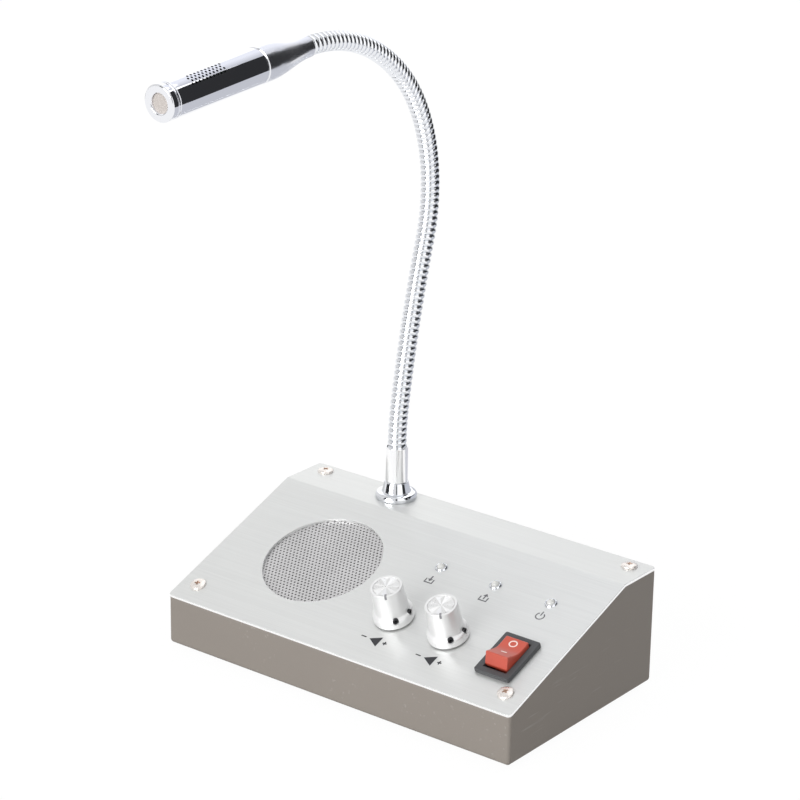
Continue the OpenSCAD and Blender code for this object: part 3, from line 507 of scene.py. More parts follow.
bend_r = 1.6
walls = []
for k in range(6):
    a = math.radians(90 * k / 5)
    walls.append(tray_ring(bend_r * (1 - math.sin(a)), bend_r * (1 - math.cos(a))))
walls.append(tray_ring(0, drop=0.45))
walls.append(tray_ring(0.08, drop=0.2))
walls.append(tray_ring(0.3, drop=0.02))
walls.append(tray_ring(steel_t))
walls.append(tray_ring(steel_t, steel_t))
tray = piece("painted_tray", loft(walls), at(), paint, sharp=40)
socket_holes = {"unit_socket": 3.15, "record_socket": 3.15, "power_socket": 4.15}
socket_z = 17
for node, radius in socket_holes.items():
    low, high = (corner * 1000 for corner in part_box(node))
    hole = turned([(0, -4), (radius, -4), (radius, 4), (0, 4)], 48)
    cut(tray, hole, at((low.x + high.x) / 2, case_d / 2, socket_z) @ spin(-90, "X"))
tidy(tray.data, 40)
fit(tray, "case", "case_paint", "case_tray")

screw_x = case_w / 2 - 7.8
front_screw_s = 9
rear_screw_y = case_d / 2 - 6
screw_spots = [on_slope(side * screw_x, front_screw_s) for side in (-1, 1)]
screw_spots += [at(side * screw_x, rear_screw_y, rear_h) for side in (-1, 1)]
for number, spot in enumerate(screw_spots):
    side = -1 if number % 2 == 0 else 1
    tab = piece(f"screw_tab_{number + 1}", block(12.8, 11, 1.15), spot @ at(side * 0.2, 0, -1.2), paint)
    cut(tab, turned([(0, -3), (1.55, -3), (1.55, 3), (0, 3)], 32), spot)
    fit(soften(tab, 0.15), "case", "case_paint")

# ---- top panel ----
# One aluminium sheet, brushed along its width, punched, then bent round a small radius. Its cut
# edges are near white: partly the bare cut metal, partly a painted highlight line.
def plate(outlines, thickness, edge=0.12):
    """Flat sheet from its outline and those of its holes, with softened edges."""
    curve = bpy.data.curves.new("plate", "CURVE")
    curve.dimensions = "2D"
    curve.fill_mode = "BOTH"
    curve.extrude = thickness / 2 - edge
    curve.bevel_depth = edge
    curve.bevel_resolution = 1
    curve.offset = -edge
    for number, outline in enumerate(outlines):
        line = curve.splines.new("POLY")
        line.points.add(len(outline) - 1)
        for point, (x, y) in zip(line.points, outline if number == 0 else outline[::-1]):
            point.co = (x, y, 0, 1)
        line.use_cyclic_u = True
    holder = bpy.data.objects.new("plate", curve)
    bpy.context.scene.collection.objects.link(holder)
    graph = bpy.context.evaluated_depsgraph_get()
    mesh = bpy.data.meshes.new_from_object(holder.evaluated_get(graph))
    points = [(v.co.x, v.co.y, v.co.z + thickness / 2) for v in mesh.vertices]
    faces = [list(face.vertices) for face in mesh.polygons]
    bpy.data.objects.remove(holder)
    bpy.data.curves.remove(curve)
    bpy.data.meshes.remove(mesh)
    return points, faces


def ring_of(x, y, radius, steps=48):
    return [(x + radius * math.cos(math.tau * k / steps), y + radius * math.sin(math.tau * k / steps))
        for k in range(steps)]


def shifted(outline, x, y):
    return [(px + x, py + y) for px, py in outline]


brushed = finish("brushed_panel", "dedfde", 0.44, 0.7, Anisotropic=0.5)
grain(brushed, 0.35, (0.012, 1, 1), tone=0.03, shine=0.12, relief=0.004, detail=3)
grain(brushed, 1.6, (0.02, 1, 1), tone=0.015)
grain(brushed, 90, tone=0.012)
tangent = brushed.node_tree.nodes.new("ShaderNodeTangent")
tangent.direction_type = "UV_MAP"
tangent.uv_map = "grain"
brushed.node_tree.links.new(tangent.outputs[0],
    brushed.node_tree.nodes["Principled BSDF"].inputs["Tangent"])
# Painted highlight: the cut edges take a brighter, near-white copy of the aluminium, partly bare cut metal and
# partly a painted highlight line.
cut_edge_highlight = finish("cut_edge_highlight", "fdfdfd", 0.2, 0.9)
grain(cut_edge_highlight, 1.5, tone=0.02, shine=0.2)

inner_r = 1.5
half = inner_r * math.tan(slope / 2)
bend_start = slope_l - half
bend_end = bend_start + inner_r * slope
flat_l = bend_end + case_d / 2 - (bend_y + half)
flange_low, flange_high = (corner * 1000 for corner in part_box("neck_flange"))
neck_x = (flange_low.x + flange_high.x) / 2
neck_y = (flange_low.y + flange_high.y) / 2
column_x = joints["inside_volume_turn"]["pos_m"][0] * 1000
column_pitch = joints["outside_volume_turn"]["pos_m"][0] * 1000 - column_x
switch_x = joints["switch_rock"]["pos_m"][0] * 1000
knob_s = 25.2
light_s = 55
switch_s = 24
grille_opening_r = 23.5
bush_hole_r = 3.65
light_hole_r = 2.15
switch_hole_w = 13.1
switch_hole_l = 19.15
stud_hole_r = 4.15
screw_hole_r = 1.65
low, high = (corner * 1000 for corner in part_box("speaker_grille"))
speaker_x = (low.x + high.x) / 2
speaker_s = ((low.y + high.y) / 2 + case_d / 2 - 0.3 * math.sin(slope)) / math.cos(slope)


def rear_u(y):
    return bend_end + y - (bend_y + half)


def bent(x, u, h):
    """Place of a point of the flat sheet once it is bent: u runs up from the front edge."""
    if u <= bend_start:
        return on_slope(x, u, h).translation
    if u >= bend_end:
        return Vector((x, bend_y + half + u - bend_end, rear_h + h))
    a = slope - (u - bend_start) / inner_r
    return Vector((x, bend_y + half - (inner_r + h) * math.sin(a),
        rear_h - inner_r + (inner_r + h) * math.cos(a)))


sheet = rounded_rect(case_w, flat_l, 1.5, 5)
openings = [shifted(sheet, 0, flat_l / 2)]
openings.append(ring_of(speaker_x, speaker_s, grille_opening_r, 128))
openings += [ring_of(column_x + k * column_pitch, knob_s, bush_hole_r) for k in (0, 1)]
openings += [ring_of(column_x + k * column_pitch, light_s, light_hole_r) for k in (0, 1, 2)]
openings.append(shifted(rounded_rect(switch_hole_w, switch_hole_l, 0.3, 2), switch_x, switch_s))
openings.append(ring_of(neck_x, rear_u(neck_y), stud_hole_r))
for side in (-1, 1):
    openings.append(ring_of(side * screw_x, front_screw_s, screw_hole_r, 32))
    openings.append(ring_of(side * screw_x, rear_u(rear_screw_y), screw_hole_r, 32))
points, faces = plate(openings, panel_t, 0.14)
mesh = bpy.data.meshes.new("brushed_panel")
mesh.from_pydata(points, [], faces)
work = bmesh.new()
work.from_mesh(mesh)
bmesh.ops.remove_doubles(work, verts=work.verts, dist=1e-4)
for k in range(7):
    u = bend_start + (bend_end - bend_start) * k / 6
    bmesh.ops.bisect_plane(work, geom=work.verts[:] + work.edges[:] + work.faces[:], dist=1e-5,
        plane_co=(0, u, 0), plane_no=(0, 1, 0))
grain_map = work.loops.layers.uv.new("grain")
for face in work.faces:
    middle = face.calc_center_median()
    # Edge faces round the sheet's outline take the near-white edge look, partly a painted highlight.
    outer = abs(middle.x) > case_w / 2 - 1 or not 1 < middle.y < flat_l - 1
    face.material_index = 1 if outer and abs(face.normal.z) < 0.9 else 0
    face.smooth = True
    for loop in face.loops:
        loop[grain_map].uv = (loop.vert.co.x / case_w + 0.5, loop.vert.co.y / flat_l)
for vert in work.verts:
    vert.co = bent(*vert.co) * 0.001
work.to_mesh(mesh)
work.free()
mesh.materials.append(brushed)
mesh.materials.append(cut_edge_highlight)
panel = bpy.data.objects.new("brushed_panel", mesh)
bpy.context.scene.collection.objects.link(panel)
fit(panel, "case", "brushed_panel", "top_panel")

# ---- printed marks ----
# Screen printed in dark grey ink on the panel: a minus, a wedge and a plus by each knob, and a
# small sign below each light.
ink = finish("dark_ink", "2c2c30", 0.6)
grain(ink, 0.4, tone=0.12, shine=0.1)


def bar(x, y, w, h):
    return [(x - w / 2, y - h / 2), (x + w / 2, y - h / 2), (x + w / 2, y + h / 2), (x - w / 2, y + h / 2)]


signs = []
for k in (0, 1):
    x = column_x + k * column_pitch
    signs.append((x - 4.6, 12.3, [bar(0, 0, 2.3, 0.5)]))
    signs.append((x, 12.0, [[(-1.9, 0.1), (2.7, -2.6), (2.7, 2.5)]]))
    signs.append((x + 5.1, 12.1, [bar(0, 0, 1.8, 0.55)]))
    signs.append((x + 5.1, 12.1, [bar(0, 0, 0.55, 1.8)]))
arrow = [(0, -1.3), (1.1, 0), (0.28, 0), (0.28, 1.7), (-0.28, 1.7), (-0.28, 0), (-1.1, 0)]
tray_sign = [(-1.9, 0.2), (-1.9, -2.1), (1.9, -2.1), (1.9, 0.2), (1.4, 0.2), (1.4, -1.6), (-1.4, -1.6),
    (-1.4, 0.2)]
for k in (0, 1):
    x = column_x + k * column_pitch
    signs.append((x, 48, [tray_sign]))
    signs.append((x, 48.2, [arrow if k == 0 else [(px, 0.4 - py) for px, py in arrow][::-1]]))
power_ring = []
for radius, order in ((1.9, 1), (1.4, -1)):
    power_ring += [(radius * math.cos(math.radians(a)), radius * math.sin(math.radians(a)))
        for a in range(125, 416, 10)][::order]
signs.append((column_x + 2 * column_pitch, 47.8, [power_ring]))
signs.append((column_x + 2 * column_pitch, 49.2, [bar(0, 0, 0.5, 2.2)]))
pale_ink = finish("grey_ink", "66666a", 0.6)
grain(pale_ink, 0.4, tone=0.12, shine=0.1)
for name, look, from_s, to_s in (("knob_marks", ink, 0, 30), ("light_marks", pale_ink, 30, 60)):
    shapes = [moved(plate(outlines, 0.04, 0.004), on_slope(x, s, panel_t - 0.01))
        for x, s, outlines in signs if from_s < s < to_s]
    fit(piece(name, merged(shapes), at(), look), "case", "case_paint")

# ---- panel screws ----
# Pan-head machine screws, yellow plated, with painted shade in the cross recess: a darker brown
# than the plating on the head.
def filleted(outline, radius, steps=3):
    """The outline with each inner corner rounded off."""
    result = [outline[0]]
    for before, here, after in zip(outline, outline[1:], outline[2:]):
        back = Vector(before) - Vector(here)
        on = Vector(after) - Vector(here)
        if back.length < 1e-6 or on.length < 1e-6:
            result.append(here)
            continue
        back = Vector(here) + back * min(radius / back.length, 0.45)
        on = Vector(here) + on * min(radius / on.length, 0.45)
        for k in range(steps + 1):
            t = k / steps
            spot = back * (1 - t) ** 2 + Vector(here) * 2 * t * (1 - t) + on * t ** 2
            result.append(tuple(spot))
    result.append(outline[-1])
    return result


plating = finish("yellow_plating", "efe9e4", 0.3, 0.75)
grain(plating, 1.2, tone=0.04, shine=0.3)
# Painted shade: the cross recess takes this darker brown colour.
recess_painted_shade = finish("screw_recess_painted_shade", "c4a998", 0.5, 0.2)
grain(recess_painted_shade, 0.5, tone=0.2, shine=0.2)


def pan_head(head_r, head_h, thread_r, thread_l):
    outline = [(0, -thread_l), (thread_r * 0.8, -thread_l)]
    turns = int(thread_l / 0.5) - 1
    for k in range(turns):
        z = -thread_l + 0.2 + k * 0.5
        outline += [(thread_r * 0.86, z), (thread_r, z + 0.25)]
    outline += [(thread_r * 0.86, -0.2), (thread_r, 0), (head_r - 0.15, 0), (head_r, 0.2)]
    for k in range(9):
        a = math.radians(90 * k / 8)
        outline.append((head_r * math.cos(a), 0.45 + (head_h - 0.45) * math.sin(a)))
    outline[-1] = (0, head_h)
    return turned(outline, 48)


def cross_recess(head_r, head_h):
    bars = []
    for a in (0, 90):
        long = head_r * 0.44
        rings = []
        for z, share in ((head_h - 0.8, 0.5), (head_h + 0.3, 1.0)):
            w = 0.42 * (0.7 + 0.3 * share)
            rings.append([(long * share, -w, z), (long * share, w, z), (-long * share, w, z),
                (-long * share, -w, z)])
        bars.append(moved(loft(rings), spin(a + 20, "Z")))
    return bars


head_r = 3.1
head_h = 1.3
for number, spot in enumerate(screw_spots):
    seat = spot @ at(0, 0, panel_t)
    head = piece(f"panel_screw_{number + 1}", pan_head(head_r, head_h, 1.45, 7), seat, plating,
        recess_painted_shade, sharp=60)
    # The cut faces of the cross recess take the painted shade colour.
    for arm in cross_recess(head_r, head_h):
        cut(head, arm, seat @ spin(31 * number, "Z"), 1)
    tidy(head.data, 40)
    fit(head, "case", "yellow_plated_steel")
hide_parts("panel_screws")

# ---- rubber feet ----
# Pressed rubber bumpers with a rounded rim, stuck under the floor near its corners.
rubber = finish("black_rubber", "1d1d1e", 0.75, Specular_IOR_Level=0.3)
grain(rubber, 0.6, tone=0.15, shine=0.1, relief=0.03)
low, high = (corner * 1000 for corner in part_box("rubber_feet"))
feet = []
for x in (low.x + 6, high.x - 6):
    for y in (low.y + 6, high.y - 6):
        outline = filleted([(0, low.z + 0.35), (2, low.z + 0.35), (2.4, low.z), (5.3, low.z), (6, -0.3),
            (6, 0), (0, 0)], 0.5, 4)
        feet.append(moved(turned(outline, 48), at(x, y)))
fit(piece("rubber_bumpers", merged(feet), at(), rubber, sharp=50), "case", "black_rubber",
    "rubber_feet")

# ---- speaker grille ----
# Perforated steel sheet with staggered round holes, clamped under the panel's opening. The rows
# run on under the panel's edge.
grille_look = finish("grille_metal", "cccbcc", 0.35, 0.6)
grain(grille_look, 12, tone=0.03, shine=0.1)
hole_pitch = 1.6
hole_r = 0.4
cells = []
corner = hole_pitch / math.sqrt(3)
reach = 24.6
for j in range(-19, 20):
    for i in range(-18, 19):
        x = (i + (0.5 if j % 2 else 0)) * hole_pitch
        y = j * hole_pitch * math.sin(math.radians(60))
        if math.hypot(x, y) > reach:
            continue
        start = len(cells)
        points = []
        faces = []
        for z in (0.0, 0.6):
            for k in range(12):
                a = math.radians(30 * k + 30)
                far = corner if k % 2 == 0 else corner * math.cos(math.radians(30))
                points.append((x + far * math.cos(a), y + far * math.sin(a), z))
            for k in range(12):
                a = math.radians(30 * k + 30)
                points.append((x + hole_r * math.cos(a), y + hole_r * math.sin(a), z))
        for k in range(12):
            n = (k + 1) % 12
            faces.append([24 + k, 24 + n, 36 + n, 36 + k][::-1])
            faces.append([k, n, 12 + n, 12 + k])
            faces.append([12 + k, 12 + n, 36 + n, 36 + k])
        cells.append((points, faces))
rim = turned([(24.4, 0.05), (25.5, 0.05), (25.5, 0.55), (24.4, 0.55), (24.4, 0.05)], 96)
grille_place = on_slope(speaker_x, speaker_s, -0.6)
grille = piece("perforated_grille", merged(cells + [rim]), grille_place, grille_look, sharp=40)
fit(grille, "case", "grille_metal", "speaker_grille")

# ---- volume knobs ----
# Turned aluminium with a fine satin face: a flared skirt, a tapered grip and a top cut into eight
# sectors, with a pressed pointer line. Each is fixed by two grub screws.
knob_metal = finish("knob_metal", "ebebeb", 0.38, 0.55)
grain(knob_metal, 0.5, (1, 1, 6), tone=0.01, shine=0.05)
pointer_look = finish("pointer_line", "8f8f92", 0.5)
grain(pointer_look, 0.3, tone=0.08)
knob_outline = [(0, 13.8), (3.05, 13.8), (3.05, 5.1), (6.3, 5.1), (6.3, 1.8), (7.75, 1.8),
    (7.75, 4.2), (7.4, 5.1), (6.4, 5.7), (6.1, 16.6), (5.1, 16.6), (4.95, 16.0), (0, 16.0)]
knob_shape = turned(filleted(knob_outline, 0.35, 3), 96)
grub_z = 5.0
grub_angles = (-43, 14)
black_oxide = finish("black_oxide", "2b2b2e", 0.4, 0.5)
grain(black_oxide, 0.6, tone=0.15, shine=0.2)
faced = finish("faced_metal", "e7e7e7", 0.3, 0.7)
grain(faced, 0.5, tone=0.02, shine=0.1)
fan = [[(0, 0, 16.32)] * 32]
fan.append([(4.88 * math.cos(math.tau * k / 32), 4.88 * math.sin(math.tau * k / 32),
    16.32 + 0.26 * (1, 0, -1, 0)[k % 4]) for k in range(32)])
fan.append([(x, y, 15.95) for x, y, z in fan[1]])
fan.append([(0, 0, 15.95)] * 32)
for number, side in enumerate(("inside", "outside")):
    joint = joints[side + "_volume_turn"]
    place = on_slope(column_x + number * column_pitch, knob_s)
    knob = piece(side + "_knob", knob_shape, at(), knob_metal, sharp=45)
    for a in grub_angles:
        cut(knob, turned([(0, 3.5), (1.15, 3.5), (1.15, 9), (0, 9)], 32),
            spin(a, "Z") @ at(0, 0, grub_z) @ spin(90, "Y"))
    tidy(knob.data, 30)
    knob.matrix_world = Matrix.Translation(place.translation * 0.001) @ place.to_3x3().to_4x4()
    fit(knob, side + "_knob", "knob_metal", side + "_volume_knob")
    line = loft([[(4.6, -0.4, z), (6.2, -0.4, z), (6.2, 0.4, z), (4.6, 0.4, z)] for z in (16.3, 16.63)])
    drop = loft([[(r - 0.3, -0.4, z), (r + 0.03, -0.4, z), (r + 0.03, 0.4, z), (r - 0.3, 0.4, z)]
        for r, z in ((6.14, 15.2), (6.1, 16.6))])
    pointer = piece(side + "_pointer", merged([line, drop]), at(), pointer_look)
    pointer.matrix_world = knob.matrix_world @ spin(-56, "Z")
    fit(pointer, side + "_knob", "knob_metal")
    face = piece(side + "_knob_face", loft(fan, closed=False), spin(15, "Z"), faced, sharp=3)
    face.matrix_world = knob.matrix_world
    fit(face, side + "_knob", "knob_metal")
    grubs = piece(side + "_grub_screws", ([], []), at(), black_oxide)
    for a in grub_angles:
        grub = piece("grub", turned(filleted([(0, 3.2), (1.1, 3.2), (1.1, 7.15), (0, 7.15)], 0.15), 32),
            spin(a, "Z") @ at(0, 0, grub_z) @ spin(90, "Y"), black_oxide)
        cut(grub, turned([(0, 6), (0.6, 6), (0.6, 8), (0, 8)], 6),
            spin(a, "Z") @ at(0, 0, grub_z) @ spin(90, "Y"))
        work = bmesh.new()
        work.from_mesh(grubs.data)
        work.from_mesh(grub.data)
        work.to_mesh(grubs.data)
        work.free()
        bpy.data.objects.remove(grub)
    tidy(grubs.data)
    grubs.matrix_world = knob.matrix_world
    fit(grubs, side + "_knob", "black_plastic", side + "_knob_grubs")

# ---- status lights ----
# A polished rim pressed into the panel round a clear dome, with the small light source below it.
chrome = finish("bright_chrome", "eceef2", 0.07, 1.0)
grain(chrome, 40, shine=0.25)
grain(chrome, 0.8, (1, 1, 1), relief=0.0015, detail=2)
clear = finish("clear_lens", "f8f8f6", 0.06, Transmission_Weight=0.35, IOR=1.49)
grain(clear, 3, shine=0.3)
chip_look = finish("light_source", "e9e4cf", 0.4)
grain(chip_look, 0.6, tone=0.1)
rims = []
domes = []
chips = []
for k in range(3):
    spot = on_slope(column_x + k * column_pitch, light_s)
    outline = [(1.55, -3), (2.0, -3), (2.0, 1.2), (2.5, 1.2), (2.5, 1.45), (2.1, 2.0), (1.75, 2.0),
        (1.55, 1.7), (1.55, -3)]
    rims.append(moved(turned(filleted(outline, 0.12), 64), spot))
    dome = [(0, -3), (1.5, -3), (1.5, 1.6)]
    dome += [(1.5 * math.cos(math.radians(a)), 1.6 + 1.5 * math.sin(math.radians(a)))
        for a in range(10, 90, 10)]
    domes.append(moved(turned(dome + [(0, 3.1)], 48), spot))
    cup = [(0, -2.0), (0.55, -2.0), (1.05, -0.6), (1.05, -2.8), (0, -2.8)]
    chips.append(moved(turned(cup, 32), spot))
fit(piece("light_rims_polished", merged(rims), at(), chrome, sharp=50), "case", "bright_chrome",
    "light_rims")
fit(piece("light_domes", merged(domes), at(), clear, sharp=50), "case", "lens_plastic",
    "light_lenses")
fit(piece("light_cups", merged(chips), at(), chip_look), "case", "lens_plastic")

# ---- rocker switch ----
# Moulded snap-in switch: a dark matt bezel and housing, and a glossy red rocker with a hollowed
# top, printed with a white ring on its OFF end and a bar on its ON end.
bezel_look = finish("bezel_plastic", "48494b", 0.42, Specular_IOR_Level=0.4)
grain(bezel_look, 0.35, tone=0.04, shine=0.15, relief=0.02)
pocket_l = 16.05
switch_place = on_slope(switch_x, switch_s)
pocket = bar(0, 0, 10, pocket_l)
bezel = moved(plate([rounded_rect(15.2, 21, 0.7, 4), pocket], 2, 0.3), at(0, 0, 1.2))
housing = moved(plate([rounded_rect(12.8, 18.85, 0.4, 3), pocket], 10.4, 0.1), at(0, 0, -9.2))
base = moved(plate([rounded_rect(12.8, 18.85, 0.4, 3)], 1.6, 0.2), at(0, 0, -10.8))
switch_body = piece("switch_bezel", merged([bezel, housing, base]), switch_place, bezel_look)
fit(switch_body, "case", "bezel_plastic", "switch_housing")

rocker_red = finish("rocker_plastic", "be4f3d", 0.34, Specular_IOR_Level=0.6)
grain(rocker_red, 9, tone=0.05, shine=0.2)
mark_white = finish("rocker_marks", "ecdcd6", 0.4)
grain(mark_white, 0.4, tone=0.04)
rocker_place = on_slope(switch_x, switch_s, 2.2) @ spin(-14, "X")


def rocker_top(v):
    """Height of the hollowed top, a distance v from the pivot."""
    a = 1.8
    return 2.9 + 1.58 * (math.sqrt(v * v + a * a) - a) / (math.sqrt(6.35 ** 2 + a * a) - a)


profile = [(v, rocker_top(v)) for v in [-6.35 + 12.7 * k / 20 for k in range(21)]]
profile += [(7.25, -0.3), (6.05, -2), (2.6, -3.4), (1.5, -6.2), (-1.5, -6.2), (-2.6, -3.4),
    (-6.05, -2), (-7.25, -0.3)]
sides = [[(x, v, h) for v, h in profile] for x in (-4.85, 4.85)]
rocker = piece("red_rocker", loft(sides), rocker_place, rocker_red, sharp=25)
soften(rocker, 0.4, 3, 30)
pin = piece("rocker_pin", turned(filleted([(0, -6.2), (0.8, -6.2), (0.8, 6.2), (0, 6.2)], 0.2), 32),
    rocker_place @ spin(90, "Y"), rocker_red)
fit(rocker, "rocker", "rocker_plastic", "switch_rocker")
fit(pin, "rocker", "rocker_plastic")


def on_rocker(outlines, v):
    """A thin print that follows the rocker's hollowed top."""
    points, faces = plate(outlines, 0.06, 0.005)
    return [(x, y + v, rocker_top(y + v) + z + 0.01) for x, y, z in points], faces


ring_mark = on_rocker([[(x, y * 0.86) for x, y in ring_of(0, 0, r)] for r in (1.75, 1.25)], 3.6)
bar_mark = on_rocker([bar(0, 0, 2.4, 0.65)], -2.0)
fit(piece("rocker_prints", merged([ring_mark, bar_mark]), rocker_place, mark_white), "rocker",
    "rocker_plastic")

# ---- neck base ----
# A turned and chromed flange with a cone, screwed down by its stud, and a plain sleeve that grips
# the neck's end.
base_place = at(neck_x, neck_y, rear_h + panel_t)
flange_outline = [(1.6, -9.2), (4, -9.2), (4, 0), (7.9, 0), (8.1, 0.3), (8.1, 1.5), (7.6, 2.3),
    (6.6, 2.6), (5.6, 2.65), (4.62, 6.8), (3.2, 6.8), (3.2, 10.8), (1.6, 10.8), (1.6, -9.2)]
flange = piece("chrome_flange", turned(filleted(flange_outline, 0.3, 4), 96), base_place, chrome,
    sharp=60)
fit(flange, "case", "bright_chrome", "neck_flange")
sleeve_look = finish("satin_sleeve", "fdfdfe", 0.16, 1.0)
grain(sleeve_look, 1.4, (1, 1, 0.05), tone=0.04, shine=0.35)
sleeve_outline = [(3.25, 6.85), (4.3, 6.85), (4.3, 21), (3.78, 21), (3.78, 17.5), (3.25, 17.4),
    (3.25, 6.85)]
sleeve = piece("chrome_sleeve", turned(filleted(sleeve_outline, 0.25, 3), 96), base_place,
    sleeve_look, sharp=60)
fit(sleeve, "case", "bright_chrome", "neck_ferrule")

# ---- flexible neck ----
# Spring hose: one chromed wire of rounded section, wound in a close helix. It is cut at the middle
# of each link.
neck_z = rear_h + panel_t + 21
arcs = ((0.08, -9), (0.3, -7), (0.228, 39), (0.112, 22), (0.28, 49))
neck_l = 214.0


def neck_at(distance):
    """Point and lean of the neck's centre line: y, z, and the angle from upright in radians."""
    y = neck_y
    z = neck_z
    lean = 0.0
    if distance < 0:
        return y, z + distance, lean
    for part, degrees in arcs:
        whole = part * neck_l
        used = min(distance, whole)
        bend = math.radians(degrees) * used / whole
        radius = whole / math.radians(degrees)
        y += radius * (math.cos(lean + bend) - math.cos(lean))
        z += radius * (math.sin(lean + bend) - math.sin(lean))
        lean += bend
        distance -= used
        if distance <= 0:
            return y, z, lean
    return y - distance * math.sin(lean), z + distance * math.cos(lean), lean


pitch = 2.3
per_turn = 32


def wound_wire(start, end):
    """The wire from one distance along the neck to another, as one closed tube."""
    rings = []
    first = round(start / pitch * per_turn)
    last = round(end / pitch * per_turn)
    for step in range(first, last + 1):
        centre = pitch * step / per_turn
        a = math.tau * step / per_turn
        ring = []
        for j in range(11):
            t = j / 10 * 2 - 1
            ring.append((centre + t * pitch * 0.492, 3.08 + 0.62 * (1 - abs(t) ** 2.6)))
        ring.append((centre + pitch * 0.4, 2.5))
        ring.append((centre - pitch * 0.4, 2.5))
        spots = []
        for distance, r in ring:
            y, z, lean = neck_at(distance)
            up = r * math.sin(a)
            spots.append((neck_x + r * math.cos(a), y + up * math.cos(lean), z + up * math.sin(lean)))
        rings.append(spots)
    return loft(rings)


neck_joints = [joint for joint in frame["joints"] if joint["name"].startswith("neck")]
link_l = neck_l / (len(neck_joints) + 1)
for number, joint in enumerate(neck_joints):
    start = -2.4 if number == 0 else (number + 0.5) * link_l
    end = neck_l + 2.2 if number == len(neck_joints) - 1 else (number + 1.5) * link_l
    wire = piece(f"neck_winding_{number + 1}", wound_wire(start, end), at(), chrome, sharp=50)
    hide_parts(f"neck_link_{number + 1}")
    if number == len(neck_joints) - 1:
        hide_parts(f"neck_link_{number + 2}")
    y, z, lean = neck_at((number + 1) * link_l)
    middle = Vector((neck_x, y, z)) * 0.001
    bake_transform(wire)

# ---- microphone head ----
# Drawn and polished brass tube, chromed: a swept rear end, a little duller, a barrel with four rows
# of sound holes, and a cap with fine rings. The capsule's face shows in the cap.
y, z, lean = neck_at(neck_l)
head_place = at(neck_x, y, z) @ Matrix.Rotation(lean, 4, "X")
polished = finish("polished_chrome", "eff0f4", 0.045, 1.0)
grain(polished, 25, shine=0.35)
grain(polished, 5, relief=0.004, detail=3)
taper_outline = [(3.25, 3.2), (3.78, 3.2), (3.78, 0), (4.02, 0)]
for k in range(1, 41):
    taper_outline.append((4.0 + 2.7 * (1 - math.cos(math.pi * k / 40)) / 2, 23 * k / 40))
taper_outline += [(6.7, 27.1), (6.35, 27.35), (6.35, 28), (5.65, 28), (5.65, 32), (4.7, 32), (4.7, 20),
    (3.25, 14), (3.25, 3.2)]
taper_look = finish("satin_taper", "eff0f4", 0.2, 1.0)
grain(taper_look, 25, shine=0.2)
taper = piece("head_taper", turned(taper_outline, 96), head_place, taper_look, sharp=50)
fit(taper, "mic_head", "bright_chrome", "mic_taper")
barrel_outline = [(5.7, 28.05), (6.6, 28.05), (6.7, 28.2), (6.7, 72.85), (6.6, 73), (5.7, 73), (5.7, 28.05)]
barrel = piece("head_barrel", turned(barrel_outline, 128), head_place, polished, sharp=50)
sound_rows = 4
sound_cols = 10
sound_pitch = 1.8
sound_r = 0.48
first_hole_z = 65
row_turn = 10.5
holes = []
for j in range(sound_rows):
    for i in range(sound_cols):
        z = first_hole_z - (i + (j % 2) / 2) * sound_pitch
        a = 60 + (j - (sound_rows - 1) / 2) * row_turn
        drill = turned([(0, 4.5), (sound_r, 4.5), (sound_r, 8), (0, 8)], 20)
        holes.append(moved(drill, at(0, 0, z) @ spin(a, "Z") @ spin(90, "Y")))
cut(barrel, merged(holes), head_place)
tidy(barrel.data, 40)
fit(barrel, "mic_head", "bright_chrome", "mic_barrel")
cap_outline = [(3.6, 70), (5.65, 70), (5.65, 73), (6.35, 73), (6.35, 73.4), (6.7, 73.4), (6.7, 74),
    (6.35, 74), (6.35, 74.4), (6.7, 74.4), (6.7, 76.6), (6.3, 77), (4.0, 77), (3.6, 76.6), (3.6, 75.85),
    (4.95, 75.85), (4.95, 70), (3.6, 70)]
cap = piece("head_cap", turned(filleted(cap_outline[1:-1] + [cap_outline[1]], 0.1, 2), 96), head_place,
    polished, sharp=50)
fit(cap, "mic_head", "bright_chrome", "mic_cap")
felt = finish("capsule_felt", "c4bdb8", 0.85)
grain(felt, 0.4, tone=0.1, relief=0.04)
shell_look = finish("capsule_shell", "c9c9cb", 0.3, 1.0)
grain(shell_look, 2, tone=0.06, shine=0.2)
capsule_outline = [(0, 69.2), (4.8, 69.2), (4.8, 75.8), (0, 75.8)]
capsule = piece("capsule_shell", turned(filleted(capsule_outline, 0.3), 64), head_place, shell_look)
fit(capsule, "mic_head", "capsule_face", "mic_capsule")
face_outline = [(0, 75.75), (4.3, 75.75), (4.3, 75.9), (3.9, 76.0), (0, 76.05)]
fit(piece("capsule_face", turned(face_outline, 64), head_place, felt, sharp=60), "mic_head",
    "capsule_face")

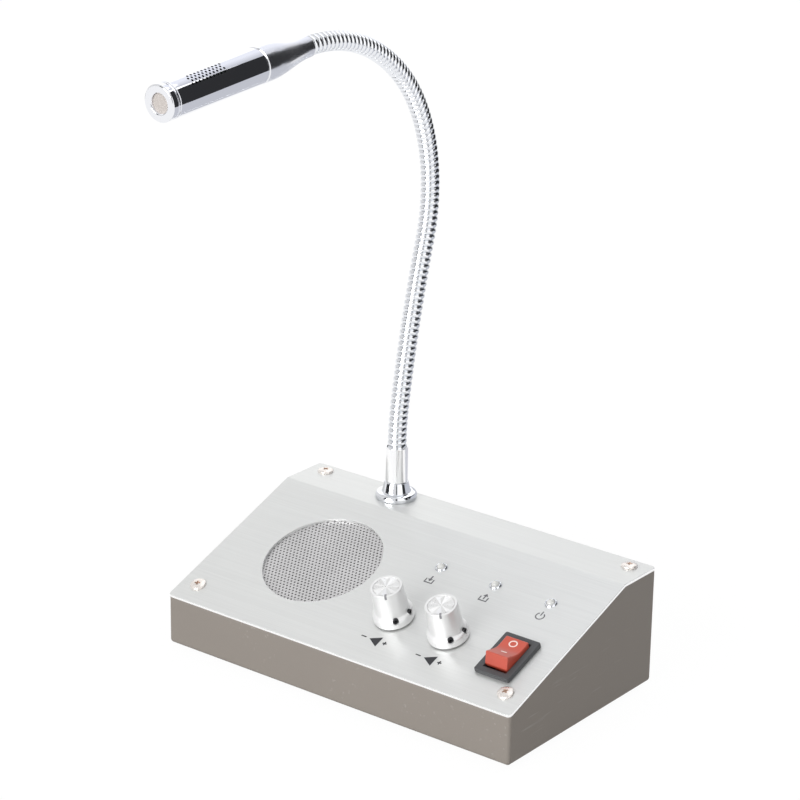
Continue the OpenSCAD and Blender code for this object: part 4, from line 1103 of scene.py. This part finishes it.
# ---- rear sockets ----
# Two small audio jacks and a power jack with its centre pin, each with a nickelled bush and a
# hexagonal nut outside the rear wall.
nickel = finish("nickel_plate", "d4d1c8", 0.22, 1.0)
grain(nickel, 1.5, tone=0.05, shine=0.3)
jack_body = finish("jack_plastic", "202124", 0.5)
grain(jack_body, 0.5, tone=0.1, relief=0.02)
for node, bush_r, bore_r, flats in (("unit_socket", 3.0, 1.8, 8), ("record_socket", 3.0, 1.8, 8),
        ("power_socket", 4.0, 2.9, 11)):
    low, high = (corner * 1000 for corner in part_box(node))
    place = at((low.x + high.x) / 2, case_d / 2, (low.z + high.z) / 2) @ spin(-90, "X")
    bush = [(bore_r, -1.25)]
    for k in range(12):
        bush += [(bush_r - 0.14, -1.2 + k * 0.36), (bush_r, -1.02 + k * 0.36)]
    bush += [(bush_r - 0.25, 3.2), (bore_r + 0.25, 3.2), (bore_r, 2.9), (bore_r, -1.25)]
    fit(piece(node + "_bush", turned(bush, 64), place, nickel, sharp=60), "case", "plated_steel", node)
    inside = [(0, -13.2), (4.4, -13.2), (4.4, -1.25), (bore_r, -1.25), (bore_r, -12), (0, -12)]
    fit(piece(node + "_body", turned(filleted(inside, 0.2), 48), place, jack_body, sharp=50), "case",
        "black_plastic")
    hexagon = [(flats / 2 / math.cos(math.pi / 6) * math.cos(math.radians(60 * k)),
        flats / 2 / math.cos(math.pi / 6) * math.sin(math.radians(60 * k))) for k in range(6)]
    nut = plate([hexagon, ring_of(0, 0, bush_r + 0.05)], 2, 0.2)
    nut_piece = piece(node + "_nut", nut, place, nickel)
    fit(nut_piece, "case", "plated_steel")
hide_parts("socket_nuts")
pin = piece("power_pin", turned(filleted([(0, -12), (1, -12), (1, 1.5), (0, 1.5)], 0.4), 32), place, nickel)
fit(pin, "case", "contact_brass")

# ---- inner parts ----
# What the case hides: the speaker, the volume controls, the board and its leads, each in its own
# finish.
looks = {
    "plated_steel": finish("plated_steel", "c4c6c8", 0.3, 1.0),
    "black_steel": finish("black_steel", "26262a", 0.4, 0.6),
    "cone_paper": finish("cone_paper", "2a2a2c", 0.9),
    "magnet_ferrite": finish("magnet_ferrite", "3b3d40", 0.7),
    "contact_brass": finish("contact_brass", "c9a24c", 0.3, 1.0),
    "pot_brown": finish("pot_brown", "8a5a34", 0.5),
    "board_green": finish("board_green", "1f5a34", 0.4, Coat_Weight=0.4),
    "black_plastic": finish("black_plastic", "222326", 0.45),
    "sleeve_blue": finish("sleeve_blue", "1d2a5e", 0.35),
    "header_white": finish("header_white", "e6e2d6", 0.5),
    "lead_red": finish("lead_red", "a8231e", 0.45),
}
for look in looks.values():
    grain(look, 2.5, tone=0.08, shine=0.15, relief=0.01)
looks.update(knob_metal=knob_metal, black_rubber=rubber, bright_chrome=chrome)
slots = {part["node"]: part["material_slot"] for part in frame["record"]["subparts"]}
for node, thing in frame["nodes"].items():
    look = looks.get(slots[node])
    if look and not thing.hide_render:
        thing.data.materials.clear()
        thing.data.materials.append(look)
